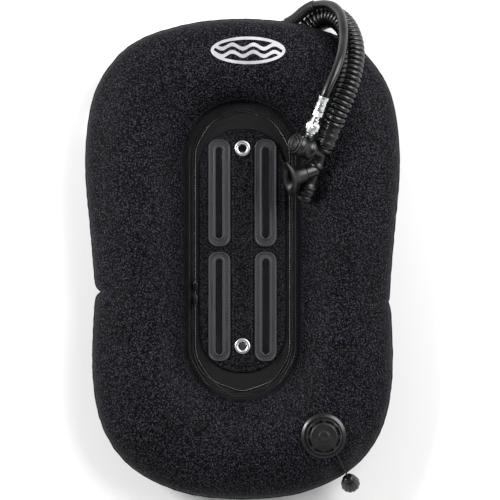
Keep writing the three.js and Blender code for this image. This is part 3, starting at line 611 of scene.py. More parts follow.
# Centre strip: a rounded box less the bolt holes, with a sunk seam down either side.
def stripDistance(x, y):
    outer = roundedBox(x, y, strip["low"], strip["high"], strip["corner"])
    return np.maximum(outer, -boltDistance(x, y, boltClear))


def stripTop(x, y, depth):
    groove = 0.3 * np.exp(-((np.abs(x) - strip["seam"]) / 0.7) ** 2)
    return strip["top"] - edgeDrop(depth, 0.5) - groove


makePiece("centreStrip", cutSheet(stripDistance, (strip["low"], strip["high"]), 1.2, stripTop,
    strip["bottom"]), "padNylon", slot="webbing", stands=["centre_strip"], sharp=50)

# Wear plates: a raised lip round the border and another round the slot, smooth between.
plate = {"corner": 13, "top": 56.0, "bottom": 54.3, "lip": 0.9, "borderLip": (1.6, 2.8),
         "mouthLip": (2.2, 3.4)}
for level, (low, high) in bay["plates"].items():
    for side, word in ((-1, "left"), (1, "right")):
        corner = (side * bay["plateX"] - bay["plateWide"] / 2, low)
        far = (side * bay["plateX"] + bay["plateWide"] / 2, high)
        outside = lambda x, y, a=corner, b=far: roundedBox(x, y, a, b, plate["corner"])
        def plateDistance(x, y, outside=outside):
            return np.maximum(outside(x, y), -slotDistance(x, y, 0))
        def plateTop(x, y, depth, outside=outside):
            border, mouth = -outside(x, y), slotDistance(x, y, 0)
            lips = np.minimum(smoothStep(border, *plate["borderLip"]),
                              smoothStep(mouth, *plate["mouthLip"]))
            return plate["top"] + plate["lip"] * (1 - lips) - edgeDrop(depth, 0.7)
        shape = cutSheet(plateDistance, (corner, far), 0.75, plateTop, plate["bottom"])
        makePiece(f"wearPlate_{level}_{word}", shape, "slot_rubber",
                  stands=[f"slot_plate_{level}_{word}"], sharp=50)

# Zip: two tapes with the coil between, rippling a little round both ends of the bay. Real teeth
# are 1.3 mm apart; the pitch is coarser so that they show.
zipper = {"radius": 66.8, "ripple": 1.1, "tapeTop": 50.75, "tapeBottom": 50.15, "coilHeight": 51.3,
          "coilLength": 1070, "pitch": 2.6, "coilRadius": 1.15, "pointsPerTooth": 5,
          "tapes": {"zipTapeOuter": (68.4, 79.4, "zip_tape_outer"),
                    "zipTapeInner": (58.5, 65.2, "zip_tape_inner")}}


def zipOffset(x, y):
    beyond = y - np.clip(y, cell["bayBottom"], cell["bayTop"])
    turn = np.arctan2(np.abs(beyond), x)
    return np.hypot(x, beyond) - np.where(beyond == 0, 0,
        zipper["ripple"] * np.sin(turn * 9) * np.sin(turn))


# The tapes' top: level at the edges, with a small ripple of two sines within.
def tapeTop(x, y, depth):
    return zipper["tapeTop"] + 0.35 * np.sin(x / 5.1) * np.sin(y / 6.3) * np.clip(depth / 3, 0, 1)


for label, (inner, outer, node) in zipper["tapes"].items():
    band = lambda x, y, i=inner, o=outer: np.abs(zipOffset(x, y) - (i + o) / 2) - (o - i) / 2
    corners = ((-outer - 2, cell["bayBottom"] - outer - 2), (outer + 2, cell["bayTop"] + outer + 2))
    makePiece(label, cutSheet(band, corners, 1.5, tapeTop, zipper["tapeBottom"]), "webbing",
              stands=[node], sharp=50)
coilLine = bayLine(zipper["radius"], zipper["coilHeight"], zipper["ripple"])[:-1]
coilRun = np.arange(len(coilLine)) / len(coilLine)
beads = round(zipper["coilLength"] / zipper["pitch"]) * zipper["pointsPerTooth"]
coilAt = np.linspace(0, 1, beads, endpoint=False)
fineLine = np.stack([np.interp(coilAt, coilRun, coilLine[:, k], period=1) for k in range(3)], 1)
tooth = 0.72 + 0.28 * np.abs(np.sin(pi * np.arange(beads) / zipper["pointsPerTooth"]))
makePiece("zipCoil", tubeAlong(fineLine, zipper["coilRadius"] * tooth, 8, closed=True, squash=0.9),
          "moulded_plastic", stands=["zip_teeth"])

# Rows of thread, one piece for each place they are sewn.
upright = np.array([0.0, 0, 1])
bolts = bay["bolts"]
sewnRows = {
    "stripThread": [([(-13, -148), (-13, 172)], 55.35), ([(13, -148), (13, 172)], 55.35),
                    ([(-12, -82.4), (12, -82.4)], 55.45), ([(-12, -84.6), (12, -84.6)], 55.45)],
    "plateThread": [],
}
for low, high in bay["plates"].values():
    for side in (-1, 1):
        left, right = side * bay["plateX"] - 12.4, side * bay["plateX"] + 12.4
        bow = np.linspace(0, pi, 24)
        middle, bent = (left + right) / 2, (right - left) / 2
        topBow = np.column_stack([middle + bent * np.cos(bow),
            high - 3 - bent + bent * np.sin(bow)])
        lowBow = np.column_stack([middle - bent * np.cos(bow), low + 3 + bent - bent * np.sin(bow)])
        loop = np.vstack([topBow, lowBow, [[right, high - 3 - bent]]])
        sewnRows["plateThread"].append((loop, 56.15))
for label, rowsHere in sewnRows.items():
    parts = [stitchRow(levelLine(line, z), upright) for line, z in rowsHere]
    makePiece(label, joinParts(*parts), "thread", sharp=80)
tapeRows = [stitchRow(bayLine(r, 51.0, 1.1), upright) for r in (71.5, 76.8)]
makePiece("tapeThread", joinParts(*tapeRows), "thread", sharp=80)
foldLines = []
for around, wave in ((75.4, 2.0), (70.2, -1.8)):
    foldLines.append(tubeAlong(bayLine(around, 51.3, wave)[:-1:2], 0.55, 8, closed=True))
makePiece("zipFold", joinParts(*foldLines), "fold", sharp=80)
column = cell["across"] - 5
seamLine = np.stack([frontX[:, column], frontY[:, column], frontZ[:, column]], 1)
makePiece("baySeamThread", stitchRow(seamLine + [0, 0, 0.25], upright, 3.2, 1.6),
          "thread", sharp=80)

# Eyelets: a rolled bright rim with the barrel going down through the layers.
for level, at in zip(("upper", "lower"), bolts):
    rim = turned([(5.7, 43.3), (6.9, 43.3), (6.9, 55.7), (10.4, 55.7), (10.9, 56.2), (11, 56.7),
        (10.7, 57.2), (9.8, 57.55), (8.4, 57.6), (7.2, 57.3), (6.3, 56.7), (5.8, 55.8)], 72)
    makePiece(f"eyelet_{level}", (rim[0] + [0, at, 0], rim[1]), "stainless_steel",
              stands=[f"grommet_{level}"], sharp=60)
print("bay laid")


# Zip sliders: a waisted block with a raised bridge, and a slotted pull tab on each.
slider = {"half": (3.6, 6), "block": (52.95, 54.9), "legs": (51.3, 53.2), "legAt": 2.6,
          "tabLow": (-2, -2), "tabHigh": (2, 11), "tab": (55.6, 56.7)}
sliderBox = ((-slider["half"][0], -slider["half"][1]), slider["half"])


def sliderDistance(x, y):
    half = 3.5 - 0.9 * smoothStep(np.abs(y), 3.5, 6) - 0.5 * smoothStep(-y, 1, 6)
    return np.maximum(np.abs(x) - half, np.abs(y) - 6)


def sliderTop(x, y, depth):
    bridge = 0.55 * (np.abs(x) < 1.3) * smoothStep(4.2 - np.abs(y), 0, 1)
    return slider["block"][1] - edgeDrop(depth, 0.8) + bridge


def tabDistance(x, y):
    body = roundedBox(x, y, slider["tabLow"], slider["tabHigh"], 1.9)
    return np.maximum(body, -roundedBox(x, y, (-0.9, 4.5), (0.9, 9), 0.85))


def legDistance(x, y, side):
    middle = side * slider["legAt"]
    return roundedBox(x, y, (middle - 0.8, -4.6), (middle + 0.8, 4.6), 0.5)


for level, at, way in (("upper", -39, 1), ("lower", -57, -1)):
    turnRound = np.array([way, way, 1.0])
    shift = np.array([-zipper["radius"], at, 0])
    parts = [cutSheet(sliderDistance, sliderBox, 0.4, sliderTop, slider["block"][0])]
    for side in (-1, 1):
        parts.append(cutSheet(lambda x, y, side=side: legDistance(x, y, side), sliderBox, 0.5,
                              lambda x, y, depth: slider["legs"][1] + 0 * x, slider["legs"][0]))
    points, faces = joinParts(*parts)
    makePiece(f"zipSlider_{level}", (points * turnRound + shift, faces), "moulded_plastic",
        f"zip_slider_{level}", [f"zip_slider_{level}"], sharp=50)
    tab = cutSheet(tabDistance, (slider["tabLow"], slider["tabHigh"]), 0.3,
                   lambda x, y, depth: slider["tab"][1] - edgeDrop(depth, 0.5), slider["tab"][0])
    makePiece(f"zipTab_{level}", (tab[0] * turnRound + shift, tab[1]), "moulded_plastic",
        f"zip_tab_{level}", [f"zip_tab_{level}"], sharp=50)

# Emblem: an oval ring with two waves, printed on the head end.
emblem = {"centre": (8, 291), "half": (52, 19.5), "stroke": 4.3, "waves": (-5.2, 5.2),
    "waveStroke": 2.2, "box": (52, 20), "proud": (0.05, 0.75)}


# Height of the front sheet at a place on the head end, read off the grid's nearest points.
def frontHeight(x, y):
    angle = np.arctan2(y - cell["bayTop"], x)
    far = np.hypot(x, y - cell["bayTop"])
    column = angle / (pi / cell["raysPerArc"])
    low = np.clip(column.astype(int), 0, cell["raysPerArc"] - 2)
    share = column - low
    width = rayWidth[low] * (1 - share) + rayWidth[low + 1] * share
    turn = np.arccos(np.clip(2 * (far - radius) / width - 1, -1, 1))
    place = turn / pi * cell["across"]
    step = np.clip(place.astype(int), 0, cell["across"] - 1)
    part = place - step
    near = frontZ[low, step] * (1 - part) + frontZ[low, step + 1] * part
    after = frontZ[low + 1, step] * (1 - part) + frontZ[low + 1, step + 1] * part
    return near * (1 - share) + after * share


# Emblem: an oval's ring, and sine waves kept inside it.
def emblemDistance(x, y):
    u, v = x - emblem["centre"][0], y - emblem["centre"][1]
    a, b = emblem["half"]
    k = np.hypot(u / a, v / b)
    slope = np.maximum(np.hypot(u / a ** 2, v / b ** 2), 1e-6)
    oval = (k - 1) * k / slope
    ring = np.maximum(oval, -(oval + emblem["stroke"]))
    rippled = [np.maximum(np.abs(v - at - 3 * np.sin(u / 88 * 6 * pi)) * 0.82
        - emblem["waveStroke"], oval + 2) for at in emblem["waves"]]
    return np.minimum.reduce([ring, *rippled])


emblemBox = np.array(emblem["centre"]) + np.outer([-1, 1], emblem["box"])
makePiece("waveEmblem", cutSheet(emblemDistance, emblemBox, 0.8,
                                 lambda x, y, depth: frontHeight(x, y) + emblem["proud"][1],
                                 lambda x, y: frontHeight(x, y) + emblem["proud"][0]),
          "emblem_print", stands=["emblem"], sharp=60)
print("emblem printed")

# Dump valve: flange, skirt, cap, cord and knob.
dumpAt = np.array([dump["x"], dump["y"], dump["z"]])
base = turned([(16.5, -22), (20, -22), (20, -0.2), (30.6, -0.2), (31.2, 0.4), (31.2, 1.2),
    (30.4, 1.9), (28.6, 2.3), (27.8, 3), (25.4, 3.1), (25.2, 2.7), (16.5, 2.7)], 96)
makePiece("dumpFlange", (base[0] + dumpAt, base[1]), "moulded_plastic",
          stands=["dump_base"], sharp=45)
skirt = turned([(21.3, -9.5), (32.6, -9.5), (32.2, -3), (31.3, -0.3), (21.3, -0.3)], 72)
makePiece("dumpSkirt", (skirt[0] + dumpAt, skirt[1]), "mouthpiece_rubber",
          stands=["dump_gasket"])

# Cap: a polar grid whose height falls through eight slots round the rim, with a raised middle
# disc and centre boss; the wall and underside close it.
cap = {"slots": 8, "slotFrom": 19.2, "slotTo": 23.1, "bar": 7.5, "deep": 4.5}
spokes = np.linspace(0, 2 * pi, 480, endpoint=False)[:, None]
rings = np.concatenate([np.linspace(0.001, 7, 8), [7.15, 7.3, 7.6], np.linspace(9, 17, 6),
    [17.6, 18.1, 18.35, 18.6, 19.1], np.linspace(19.5, 19.9, 3), np.linspace(20.6, 22.2, 4),
    np.linspace(22.6, 23, 3), [23.4, 23.9, 24.2, 24.42, 24.5]])[None, :]
height = 17.1 + 2.2 * (1 - smoothStep(rings, 6.4, 7.5)) - 0.35 * (1 - smoothStep(rings, 0, 5.2))
height = height - 1.3 * smoothStep(rings, 17.7, 18.8) - 1.3 * smoothStep(rings, 23.2, 24.5) ** 2
phase = np.degrees(spokes) % (360 / cap["slots"])
slotEnd = 360 / cap["slots"] - cap["bar"]
opened = (smoothStep(phase, cap["bar"] - 0.7, cap["bar"] + 0.7)
          * (1 - smoothStep(phase, slotEnd - 1.2, slotEnd)))
opened = opened * smoothStep(rings, cap["slotFrom"] - 0.15, cap["slotFrom"] + 0.25)
opened = opened * (1 - smoothStep(rings, cap["slotTo"] - 0.25, cap["slotTo"] + 0.15))
height = height - cap["deep"] * opened
capX, capY = rings * np.cos(spokes), rings * np.sin(spokes)
topPoints = np.stack([capX, capY, height + 0 * capX], -1)
wallRings = [(24.5, 9.0), (24.3, 3.5), (23.3, 3.3), (23.2, 10.7), (18.6, 10.7), (18.4, 13.3),
    (0.001, 13.3)]
spoke = spokes[:, 0]
wall = np.stack([np.column_stack([r * np.cos(spoke), r * np.sin(spoke), z + 0 * spoke])
                 for r, z in wallRings], 1)
capPoints = np.concatenate([topPoints, wall], 1)
capShape = (capPoints.reshape(-1, 3) + dumpAt, gridFaces(480, capPoints.shape[1], True))
makePiece("dumpCap", capShape, "cap", stands=["dump_cap"], sharp=50)

# Knob: a ball with a collar, flattened into twelve soft facets.
knobFrame = {"top": np.array([148.2, -305.6, 76.2]), "axis": np.array([3.3, -9.1, -13.0])}
knobZ = unit(knobFrame["axis"])
knobX = unit(np.cross(knobZ, [0.3, 0.9, 0.2]))
knobY = np.cross(knobZ, knobX)
bead = turned([(0, 0.2), (4.2, 0.2), (5.6, 0.6), (6.3, 1.6), (6.4, 3.6), (7.4, 4.6), (8.9, 6.2),
    (10.3, 9), (11.5, 12.2), (12.6, 15.6), (13.3, 18.4), (13.5, 20.6), (13, 22.6), (11.6, 24.5),
    (9.2, 25.8), (6.4, 26.4), (5.4, 26.1), (0, 26.2)], 96)
around = np.arctan2(bead[0][:, 1], bead[0][:, 0])
outward = smoothStep(np.hypot(bead[0][:, 0], bead[0][:, 1]), 7, 9.5)
facet = 1 - 0.07 * (1 - np.abs(np.cos(around * 6))) * outward
faceted = bead[0] * np.column_stack([facet, facet, 1 + 0 * facet])
knobPoints = (knobFrame["top"] + faceted[:, :1] * knobX + faceted[:, 1:2] * knobY
              + faceted[:, 2:] * knobZ)
makePiece("pullKnob", (knobPoints, bead[1]), "moulded_plastic", "dump_pull", ["pull_knob"],
    sharp=50)

pull = {"axis": (0.564, -0.819, -0.085), "height": 9.4, "out": (20.8, 26, 30), "radius": 1.22,
        "points": 120}
pullAxis = unit(np.array(pull["axis"]))
pullAt = [(dumpAt + [0, 0, pull["height"]] + pullAxis * d).tolist() for d in pull["out"]]
pullPath, pullLength = smoothPath(pullAt + [[135, -278.6, 105], [139.5, -288, 97.5],
    [144, -297, 87.5], [148, -305.2, 76.8]], pull["points"])
braid = pull["radius"] + 0.06 * np.sin(np.arange(pull["points"]) * 1.9)
pullCord = makePiece("pullCord", tubeAlong(pullPath, braid, 12), "strip", "dump_pull",
    ["pull_cord"], sharp=80)
print("dump valve fitted")

# Inflator, worked out along its own tube: Z down the tube, X along the branches.
inflator = {"origin": np.array([125.0, 186, 118]), "along": np.array([-38.9, -101, -26.0]),
    "branch": np.array([-0.7435, 0.2915, 0.6018]), "buttonBranch": (43.3, -6),
    "mouthBranch": (67.5, 30), "supply": (31, 6)}
axisZ = unit(inflator["along"])
axisX = unit(inflator["branch"] - axisZ * (inflator["branch"] @ axisZ))
axisY = np.cross(axisZ, axisX)


# From the inflator's own frame into the model's: origin plus each number times its axis.
def onInflator(points):
    return inflator["origin"] + points[:, :1] * axisX + points[:, 1:2] * axisY + points[:,
        2:] * axisZ


# A turned part laid along a branch, which leaves the tube at z and is swept back by degrees.
def outBranch(shape, branch):
    z, sweep = branch[0], radians(branch[1])
    p = shape[0]
    return np.column_stack([p[:, 2] * np.cos(sweep) + p[:, 0] * np.sin(sweep), p[:, 1],
                            z + p[:, 2] * np.sin(sweep) - p[:, 0] * np.cos(sweep)]), shape[1]


# Moves a turned part out beside the tube, on to the supply hose's own axis.
def besideTube(shape):
    return shape[0] + [inflator["supply"][0], 0, inflator["supply"][1]], shape[1]


# A piece on the inflator, joined from parts in the inflator's frame.
def fitted(name, parts, look, body="wing", stands=(), **more):
    points, faces = joinParts(*parts)
    return makePiece(name, (onInflator(points), faces), look, body, stands, **more)


tube = turned([(0, 0.3), (10.2, 0.3), (10.2, 34.2), (12.9, 34.4), (13.4, 34.9), (13.4, 38),
    (12.9, 38.7), (11.6, 39.4), (10, 40.6), (8.6, 42.4), (7.8, 44.6), (7.5, 48), (7.6, 52),
    (8, 55.4), (8.8, 58), (9.6, 59), (10.6, 59.4), (11.1, 60), (11.1, 62.8), (10.6, 63.5),
    (9.4, 64.2), (8.6, 65.4), (8.3, 68), (8.2, 78), (8.4, 83), (9, 87), (9.9, 89.4), (11, 90.6),
    (12, 91.2), (12.7, 92), (12.8, 92.8), (12.8, 95.6), (12.5, 96.1), (11.9, 96.3), (11.9, 97.1),
    (12.5, 97.3), (12.8, 97.8), (12.8, 102.7), (12.4, 103.5), (11.5, 103.6), (11.3, 103.2),
    (11.3, 95.2), (0, 95.2)], 96)
housing = turned([(0, 0), (7.9, 0), (8, 16.6), (8.8, 18.4), (11.6, 19.8), (14.2, 20.6), (15, 21.6),
    (15, 25.4), (14.4, 26.4), (13.6, 27.4), (13.4, 35.8), (14, 37), (15, 38), (15.1, 43.4),
    (14.6, 45), (14, 46.2), (14, 48.2), (11.5, 48.2), (11.5, 38.2), (0, 38.2)], 96)
boss = turned([(0, 16), (7.2, 16), (7.8, 16.6), (7.8, 19), (7, 23), (6.3, 28), (6.3, 34),
    (0, 34)], 56)
stub = turned([(0, 2), (10.2, 2), (10.1, 16.2), (8.4, 16.6), (8.4, 25.6), (8, 26), (6.6, 26),
    (6.4, 25.4), (6.4, 9), (0, 9)], 64)
fitted("inflatorBody", [tube, outBranch(housing, inflator["buttonBranch"]), besideTube(boss),
                        outBranch(stub, inflator["mouthBranch"])],
       "moulded_plastic", stands=["inflator_body"], sharp=50)
collar = turned([(11.7, 48.5), (14, 48.5), (14.3, 49), (14.3, 50), (13.6, 50.9), (12.6, 51.3),
    (11.8, 50.9)], 96)
fitted("buttonCollar", [outBranch(collar, inflator["buttonBranch"])], "moulded_plastic",
    stands=["inflate_collar"], sharp=60)
button = turned([(0, 42.9), (2.4, 42.9), (2.4, 46), (10.6, 46), (11.1, 46.4), (11.1, 52),
    (10.7, 53), (10, 53.5), (9.2, 53.5), (8.5, 52.8), (7.4, 51.4), (6.4, 50.9), (5, 50.9),
    (4.2, 51.3), (3.4, 51.4), (0, 51.3)], 96)
fitted("inflateButton", [outBranch(button, inflator["buttonBranch"])], "mouthpiece_rubber",
    "inflate_button", ["inflate_button"], sharp=60)
endButton = turned([(0, 100.6), (10.9, 100.6), (10.9, 106.8), (11.9, 106.9), (12.5, 107.4),
    (12.6, 108), (12.6, 112), (12.2, 113.2), (11.2, 114), (9.8, 114.2), (8.8, 113.8), (8, 113.4),
    (0, 113.5)], 96)
fitted("deflateButton", [endButton], "moulded_plastic", "deflate_button", ["deflate_button"],
    sharp=60)

# Mouthpiece: ellipse rings from the round stub out to an oval flange and back down the bore.
lips = np.array([(17, 10.8, 10.8), (17.6, 11.3, 11.3), (19.5, 11.6, 11.5), (21, 11.6, 11.4),
    (24, 12, 11.6), (29, 13.3, 12.3), (33, 15, 13), (36, 18.4, 14.2), (38.4, 22, 15.4),
    (40, 24.4, 16.2), (41.4, 25.5, 16.5), (42.8, 25.6, 16.5), (43.8, 25.1, 16.1), (44.3, 24, 15.1),
    (44.3, 22.4, 13.6), (43.6, 20.2, 11.4), (42, 17.4, 9.6), (38, 13.4, 8.7), (34, 11, 8.6),
    (28, 9.2, 8.8), (22, 8.7, 8.7), (17, 8.7, 8.7)])
angle = np.linspace(0, 2 * pi, 96, endpoint=False)[:, None]
lipPoints = np.stack([lips[:, 1] * np.cos(angle), lips[:, 2] * np.sin(angle),
    lips[:, 0] + 0 * angle], -1).reshape(-1, 3)
fitted("mouthpieceRubber", [outBranch((lipPoints, gridFaces(96, len(lips), True, True)),
    inflator["mouthBranch"])], "mouthpiece_rubber", stands=["mouthpiece"], sharp=60)

cuffZ = np.linspace(0.3, 33.1, 60)
cuffEnds = (0.6 * smoothStep(cuffZ, 31.6, 33.1), 0.5 * (1 - smoothStep(cuffZ, 0.3, 1.5)))
cuffR = 14.0 + 0.3 * np.cos(cuffZ * 1.05) - cuffEnds[0] - cuffEnds[1]
cuff = turned(np.vstack([np.column_stack([cuffR, cuffZ]), [[10.6, 33.1], [10.6, 0.3]]]), 80)
fitted("hoseCuff", [cuff], "hose_rubber", stands=["hose_cuff"], sharp=60)
for label, at, wide, node in (("tieUpper", 14.1, 5, "hose_tie_upper"),
        ("tieLower", 25.9, 4.6, "hose_tie_lower")):
    low, high = at - wide / 2, at + wide / 2
    band = turned([(14.3, low), (15.2, low), (15.6, low + 0.5), (15.6, high - 0.5), (15.2, high),
        (14.3, high)], 96)
    fitted(label, [band], "moulded_plastic", stands=[node], sharp=60)

# Quick coupling: knurled sleeve, hexed body and crimped ferrule.
sleeveZ = np.array([-4, -3.7, -3, -2.4, -1.6, -0.8, 7.4, 8.2, 9, 10.2, 11.4, 12.2, 12.4])
sleeveR = np.array([7.4, 8.1, 8.3, 8.3, 8.5, 9.1, 9.1, 8.5, 8.2, 8.2, 7.9, 7.4, 7.2])
sleeve = turned(np.vstack([np.column_stack([sleeveR, sleeveZ]), [[6.7, 12.4], [6.7, -4]]]), 180)
around = np.arctan2(sleeve[0][:, 1], sleeve[0][:, 0])
gripped = (np.hypot(sleeve[0][:, 0], sleeve[0][:, 1]) > 9) * 0.22 * np.sign(np.sin(around * 30))
sleevePoints = sleeve[0] * np.column_stack([1 + gripped / 9, 1 + gripped / 9, 1 + 0 * gripped])
fitted("couplingSleeve", [besideTube((sleevePoints, sleeve[1]))], "plated_brass", "coupling_sleeve",
    ["coupling_sleeve"], sharp=40)
body = turned([(0, -13), (5.4, -13), (5.2, -9), (6, -8.3), (6.4, -7.8), (6.4, 12.4), (6.1, 12.8),
    (4.7, 12.8), (4.5, 12.4), (4.5, 3), (0, 3)], 64)
hexBody = turned([(0, -20.4), (6.6, -20.4), (7.6, -19.6), (7.6, -13.4), (6.6, -12.5),
    (0, -12.5)], 6)
fitted("couplingBody", [besideTube(body), besideTube(hexBody)], "plated_brass",
    stands=["coupling_body"], sharp=30)
ferrule = turned([(6.75, -41.5), (7.7, -41.5), (8.1, -41.1), (8.1, -37.6), (7.7, -36.9),
    (7.4, -36.4), (7.5, -33), (7.2, -32.4), (7.2, -31.6), (7.5, -31), (7.5, -27.4), (7.2, -26.8),
    (7.2, -26), (7.5, -25.4), (7.5, -21.2), (7.1, -20.8), (6.75, -20.8)], 72)
fitted("couplingFerrule", [besideTube(ferrule)], "plated_brass", stands=["coupling_ferrule"],
    sharp=40)
print("inflator built")

# Elbow under the head end, turned a quarter from the hollow into the hose.
elbow = {"at": np.array([58.0, 296, 17]), "outlet": unit(np.array([26.0, 22, 0])), "radius": 12.8,
         "bend": 12, "hoseFrom": 18.6}
elbowSide = np.cross(elbow["outlet"], [0, 0, 1.0])
bend = np.linspace(0, pi / 2, 14)[:, None]
bendPath = elbow["at"] + np.vstack([
    [[0, 0, 16]], (1 - np.cos(bend)) * elbow["bend"] * elbow["outlet"]
    + [0, 0, 1] * (elbow["bend"] - elbow["bend"] * np.sin(bend)),
    [elbow["outlet"] * 14]])
bendAhead = unit(np.gradient(bendPath, axis=0))
bendUp = np.cross(elbowSide, bendAhead)
angle = np.linspace(0, 2 * pi, 40, endpoint=False)
bendRings = bendPath[:, None] + elbow["radius"] * (np.cos(angle)[None, :, None] * elbowSide
                                                   + np.sin(angle)[None, :, None] * bendUp[:, None])
bendRings = np.concatenate([np.repeat(bendPath[:1, None], 40, 1), bendRings,
    np.repeat(bendPath[-1:, None], 40, 1)])
bendPart = (bendRings.reshape(-1, 3), gridFaces(len(bendRings), 40, False, True))
neck = turned([(0, 8), (12.8, 8), (13, 17), (13.6, 17.6), (19.4, 17.9), (20, 18.5), (20, 19.6),
    (19.5, 20), (13.4, 20), (13.4, 34.6), (10, 34.6), (10, 12), (0, 12)], 64)
barb = turned([(0, 12), (13.4, 12), (14.6, 13.2), (14.6, 17.6), (14.2, 18), (0, 18)], 56)
barbPoints = elbow["at"] + barb[0][:, 2:] * elbow["outlet"] + barb[0][:, :1] * elbowSide
barbPoints = barbPoints + barb[0][:, 1:2] * np.array([0, 0, 1.0])
makePiece("elbowFitting", joinParts(bendPart, (neck[0] + elbow["at"], neck[1]),
    (barbPoints, barb[1])), "moulded_plastic", stands=["elbow_body"], sharp=45)

# Hoses, as points of one smooth route each.
hose = {"crest": 16.0, "groove": 12.4, "pitch": 7.2, "pointsPerRib": 12}
steer = onInflator(np.array([[0, 0, -14.0]]))[0]
hoseStart = elbow["at"] + elbow["outlet"] * elbow["hoseFrom"]
hosePoints = [hoseStart, [86, 320, 17.6], [99, 332.5, 22], [113, 341.5, 31.5], [128, 343, 45],
    [141, 333, 62], [150.5, 314, 80], [154.5, 292, 96.5], [152.8, 270, 108], [148, 247, 116],
    [140.5, 224, 120.5], steer, inflator["origin"]]
_, hoseLength = smoothPath(hosePoints, 50)
ribs = round(hoseLength / hose["pitch"])
hosePath, _ = smoothPath(hosePoints, ribs * hose["pointsPerRib"] + 1)
# Radius along the hose: a rounded crest over most of each pitch and a narrow rounded groove.
phase = np.arange(len(hosePath)) / hose["pointsPerRib"]
crest = np.abs(np.sin(pi * phase)) ** 0.42
ribbed = makePiece("corrugatedHose", tubeAlong(hosePath,
    hose["groove"] + (hose["crest"] - hose["groove"]) * crest, 40), "hose_rubber",
    stands=["corrugated_hose"], sharp=70)


# A point on the supply hose's axis at the inflator, that far along.
def supplyAt(z):
    return onInflator(np.array([[inflator["supply"][0], 0, z + inflator["supply"][1]]]))[0]


# A point under the head end's overhang: inset from the outline at that angle about the bay.
def tucked(degrees, inset, z):
    angle = radians(degrees)
    far = float(reach(cell["bayTop"], np.array([angle]))[0]) - inset
    return [far * np.cos(angle), cell["bayTop"] + far * np.sin(angle), z]


supply = {"radius": 6.4, "points": 420, "protected": (0.36, 0.45), "ridges": 19,
          "tail": np.array([-207.0, 190, 9.4]), "tailAxis": unit(np.array([-1.5, -12.0, 0]))}
tailAt = lambda back: supply["tail"] - supply["tailAxis"] * back
supplyPath, supplyLength = smoothPath([supplyAt(-22), supplyAt(-36), supplyAt(-48),
    [127.5, 257, 143.5], [134, 275, 136.5], [138.2, 292, 125], [140.4, 309.5, 111],
    [139.8, 328, 98], [136.4, 344.5, 83], [126.8, 356, 68], [112.2, 360, 52], [98, 358, 40],
    [85.4, 351, 31], [75.5, 342.8, 24], [64, 336.5, 17.5], tucked(77, 4, 12), tucked(83, 8, 8),
    tucked(90, 11, 7), tucked(100, 11, 7), tucked(110, 11.5, 7), tucked(120, 12, 7),
    tucked(130, 12, 7), tucked(140, 12, 7.2), tucked(150, 12, 8), tailAt(24), tailAt(12),
    tailAt(0)], supply["points"])
supplyHose = makePiece("supplyHose", tubeAlong(supplyPath, supply["radius"], 28), "hose_rubber",
                       stands=["supply_hose"], sharp=70)
start, end = (int(share * supply["points"]) for share in supply["protected"])
sleevePath, _ = smoothPath(supplyPath[start:end:3], supply["ridges"] * 10)
ridges = 7.2 + 1.05 * np.abs(np.sin(np.arange(supply["ridges"] * 10) / 10 * pi)) ** 0.6
protector = makePiece("hoseProtector", tubeAlong(sleevePath, ridges, 32), "mouthpiece_rubber",
                      stands=["hose_protector"], sharp=70)

tailX, tailY = np.array([0, 0, 1.0]), np.cross(supply["tailAxis"], [0, 0, 1.0])


# From a turned part's frame on to the end of the supply hose.
def onTail(shape):
    p = shape[0]
    placed = supply["tail"] + p[:, :1] * tailX + p[:, 1:2] * tailY
    return placed + p[:, 2:] * supply["tailAxis"], shape[1]


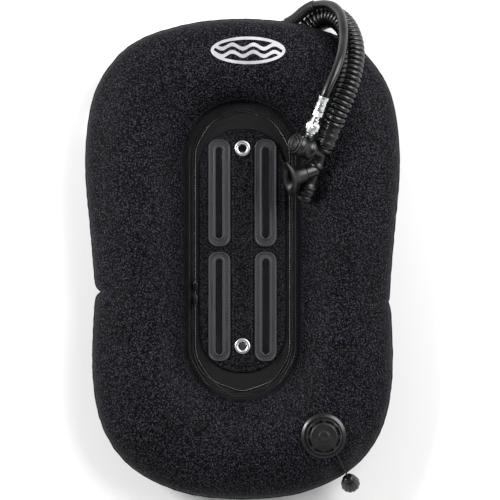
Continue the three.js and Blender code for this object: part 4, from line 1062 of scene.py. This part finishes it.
tailFerrule = turned([(6.75, -17), (7.7, -17), (7.9, -16.6), (7.9, -12), (7.6, -11.4), (7.6, -10.6),
    (7.9, -10), (7.9, -5), (7.6, -4.4), (7.6, -3.6), (7.9, -3), (7.9, 1.1), (7.5, 1.5), (4, 1.5),
    (4, 0.5), (6.75, 0.5)], 56)
tailCollar = makePiece("supplyFerrule", onTail(tailFerrule), "plated_brass",
    stands=["supply_ferrule"], sharp=40)
threadZ = np.linspace(11, 20.4, 66)
threadR = 4.45 + 0.28 * np.sin(threadZ * 2 * pi / 1.4)  # finer in truth; 1.4 mm shows
stud = turned(np.vstack([[[0, 9.5], [4.6, 9.5]], np.column_stack([threadR, threadZ]),
    [[3.9, 21], [3.9, 23], [4.7, 23.1], [4.7, 24.4], [0, 24.4]]]), 48)
hexTail = turned([(0, 4), (6.4, 4), (7.5, 4.9), (7.5, 10.1), (6.4, 11), (0, 11)], 6)
shank = turned([(0, 1.8), (5.8, 1.8), (6, 2.2), (6, 5), (0, 5)], 48)
tailFitting = makePiece("supplyFitting", joinParts(onTail(stud), onTail(hexTail), onTail(shank)),
    "plated_brass", stands=["supply_fitting"], sharp=30)
print(f"hoses laid: {hoseLength:.0f} mm corrugated, {supplyLength:.0f} mm supply, "
      f"{pullLength:.0f} mm pull cord")

# Floor and light.
bpy.ops.mesh.primitive_plane_add(size=30, location=(0, 0, -0.0006))
floor = bpy.context.object
floor.name = "studioFloor"
floorFinish, _, floorShader, _ = newFinish("studioPaper", 0.9)
floorShader.inputs["Base Color"].default_value = toLinear("#f4f4f4")
floor.data.materials.append(floorFinish)

world = bpy.data.worlds.new("studio")
bpy.context.scene.world = world
world.use_nodes = True
sky = world.node_tree  # bright low down, like white walls, and darker overhead
look = addNode(sky, "TexCoord").outputs["Generated"]
upward = addNode(sky, "SeparateXYZ", {0: look}).outputs["Z"]
glow = addNode(sky, "MapRange", {"Value": upward, "From Min": 0.05, "From Max": 0.85,
                                 "To Min": 1.1, "To Max": 0.12})
sky.links.new(glow.outputs["Result"], sky.nodes["Background"].inputs["Strength"])
sky.nodes["Background"].inputs["Color"].default_value = toLinear("#ffffff")
lamps = {"keyLight": ((-1.9, 0.75, 1.55), 66, 0.8), "fillLight": ((1.5, 0.9, 1.6), 66, 1.6)}
for name, (place, power, size) in lamps.items():
    lamp = bpy.data.lights.new(name, "AREA")
    lamp.energy = power
    lamp.size = size
    holder = bpy.data.objects.new(name, lamp)
    holder.location = place
    aim = -np.array(place) / np.linalg.norm(place)
    tilt, turn = float(np.arccos(-aim[2])), float(np.arctan2(aim[1], aim[0]) - pi / 2)
    holder.rotation_euler = (tilt, 0, turn)
    bpy.context.collection.objects.link(holder)
bpy.context.scene.view_settings.view_transform = "Standard"
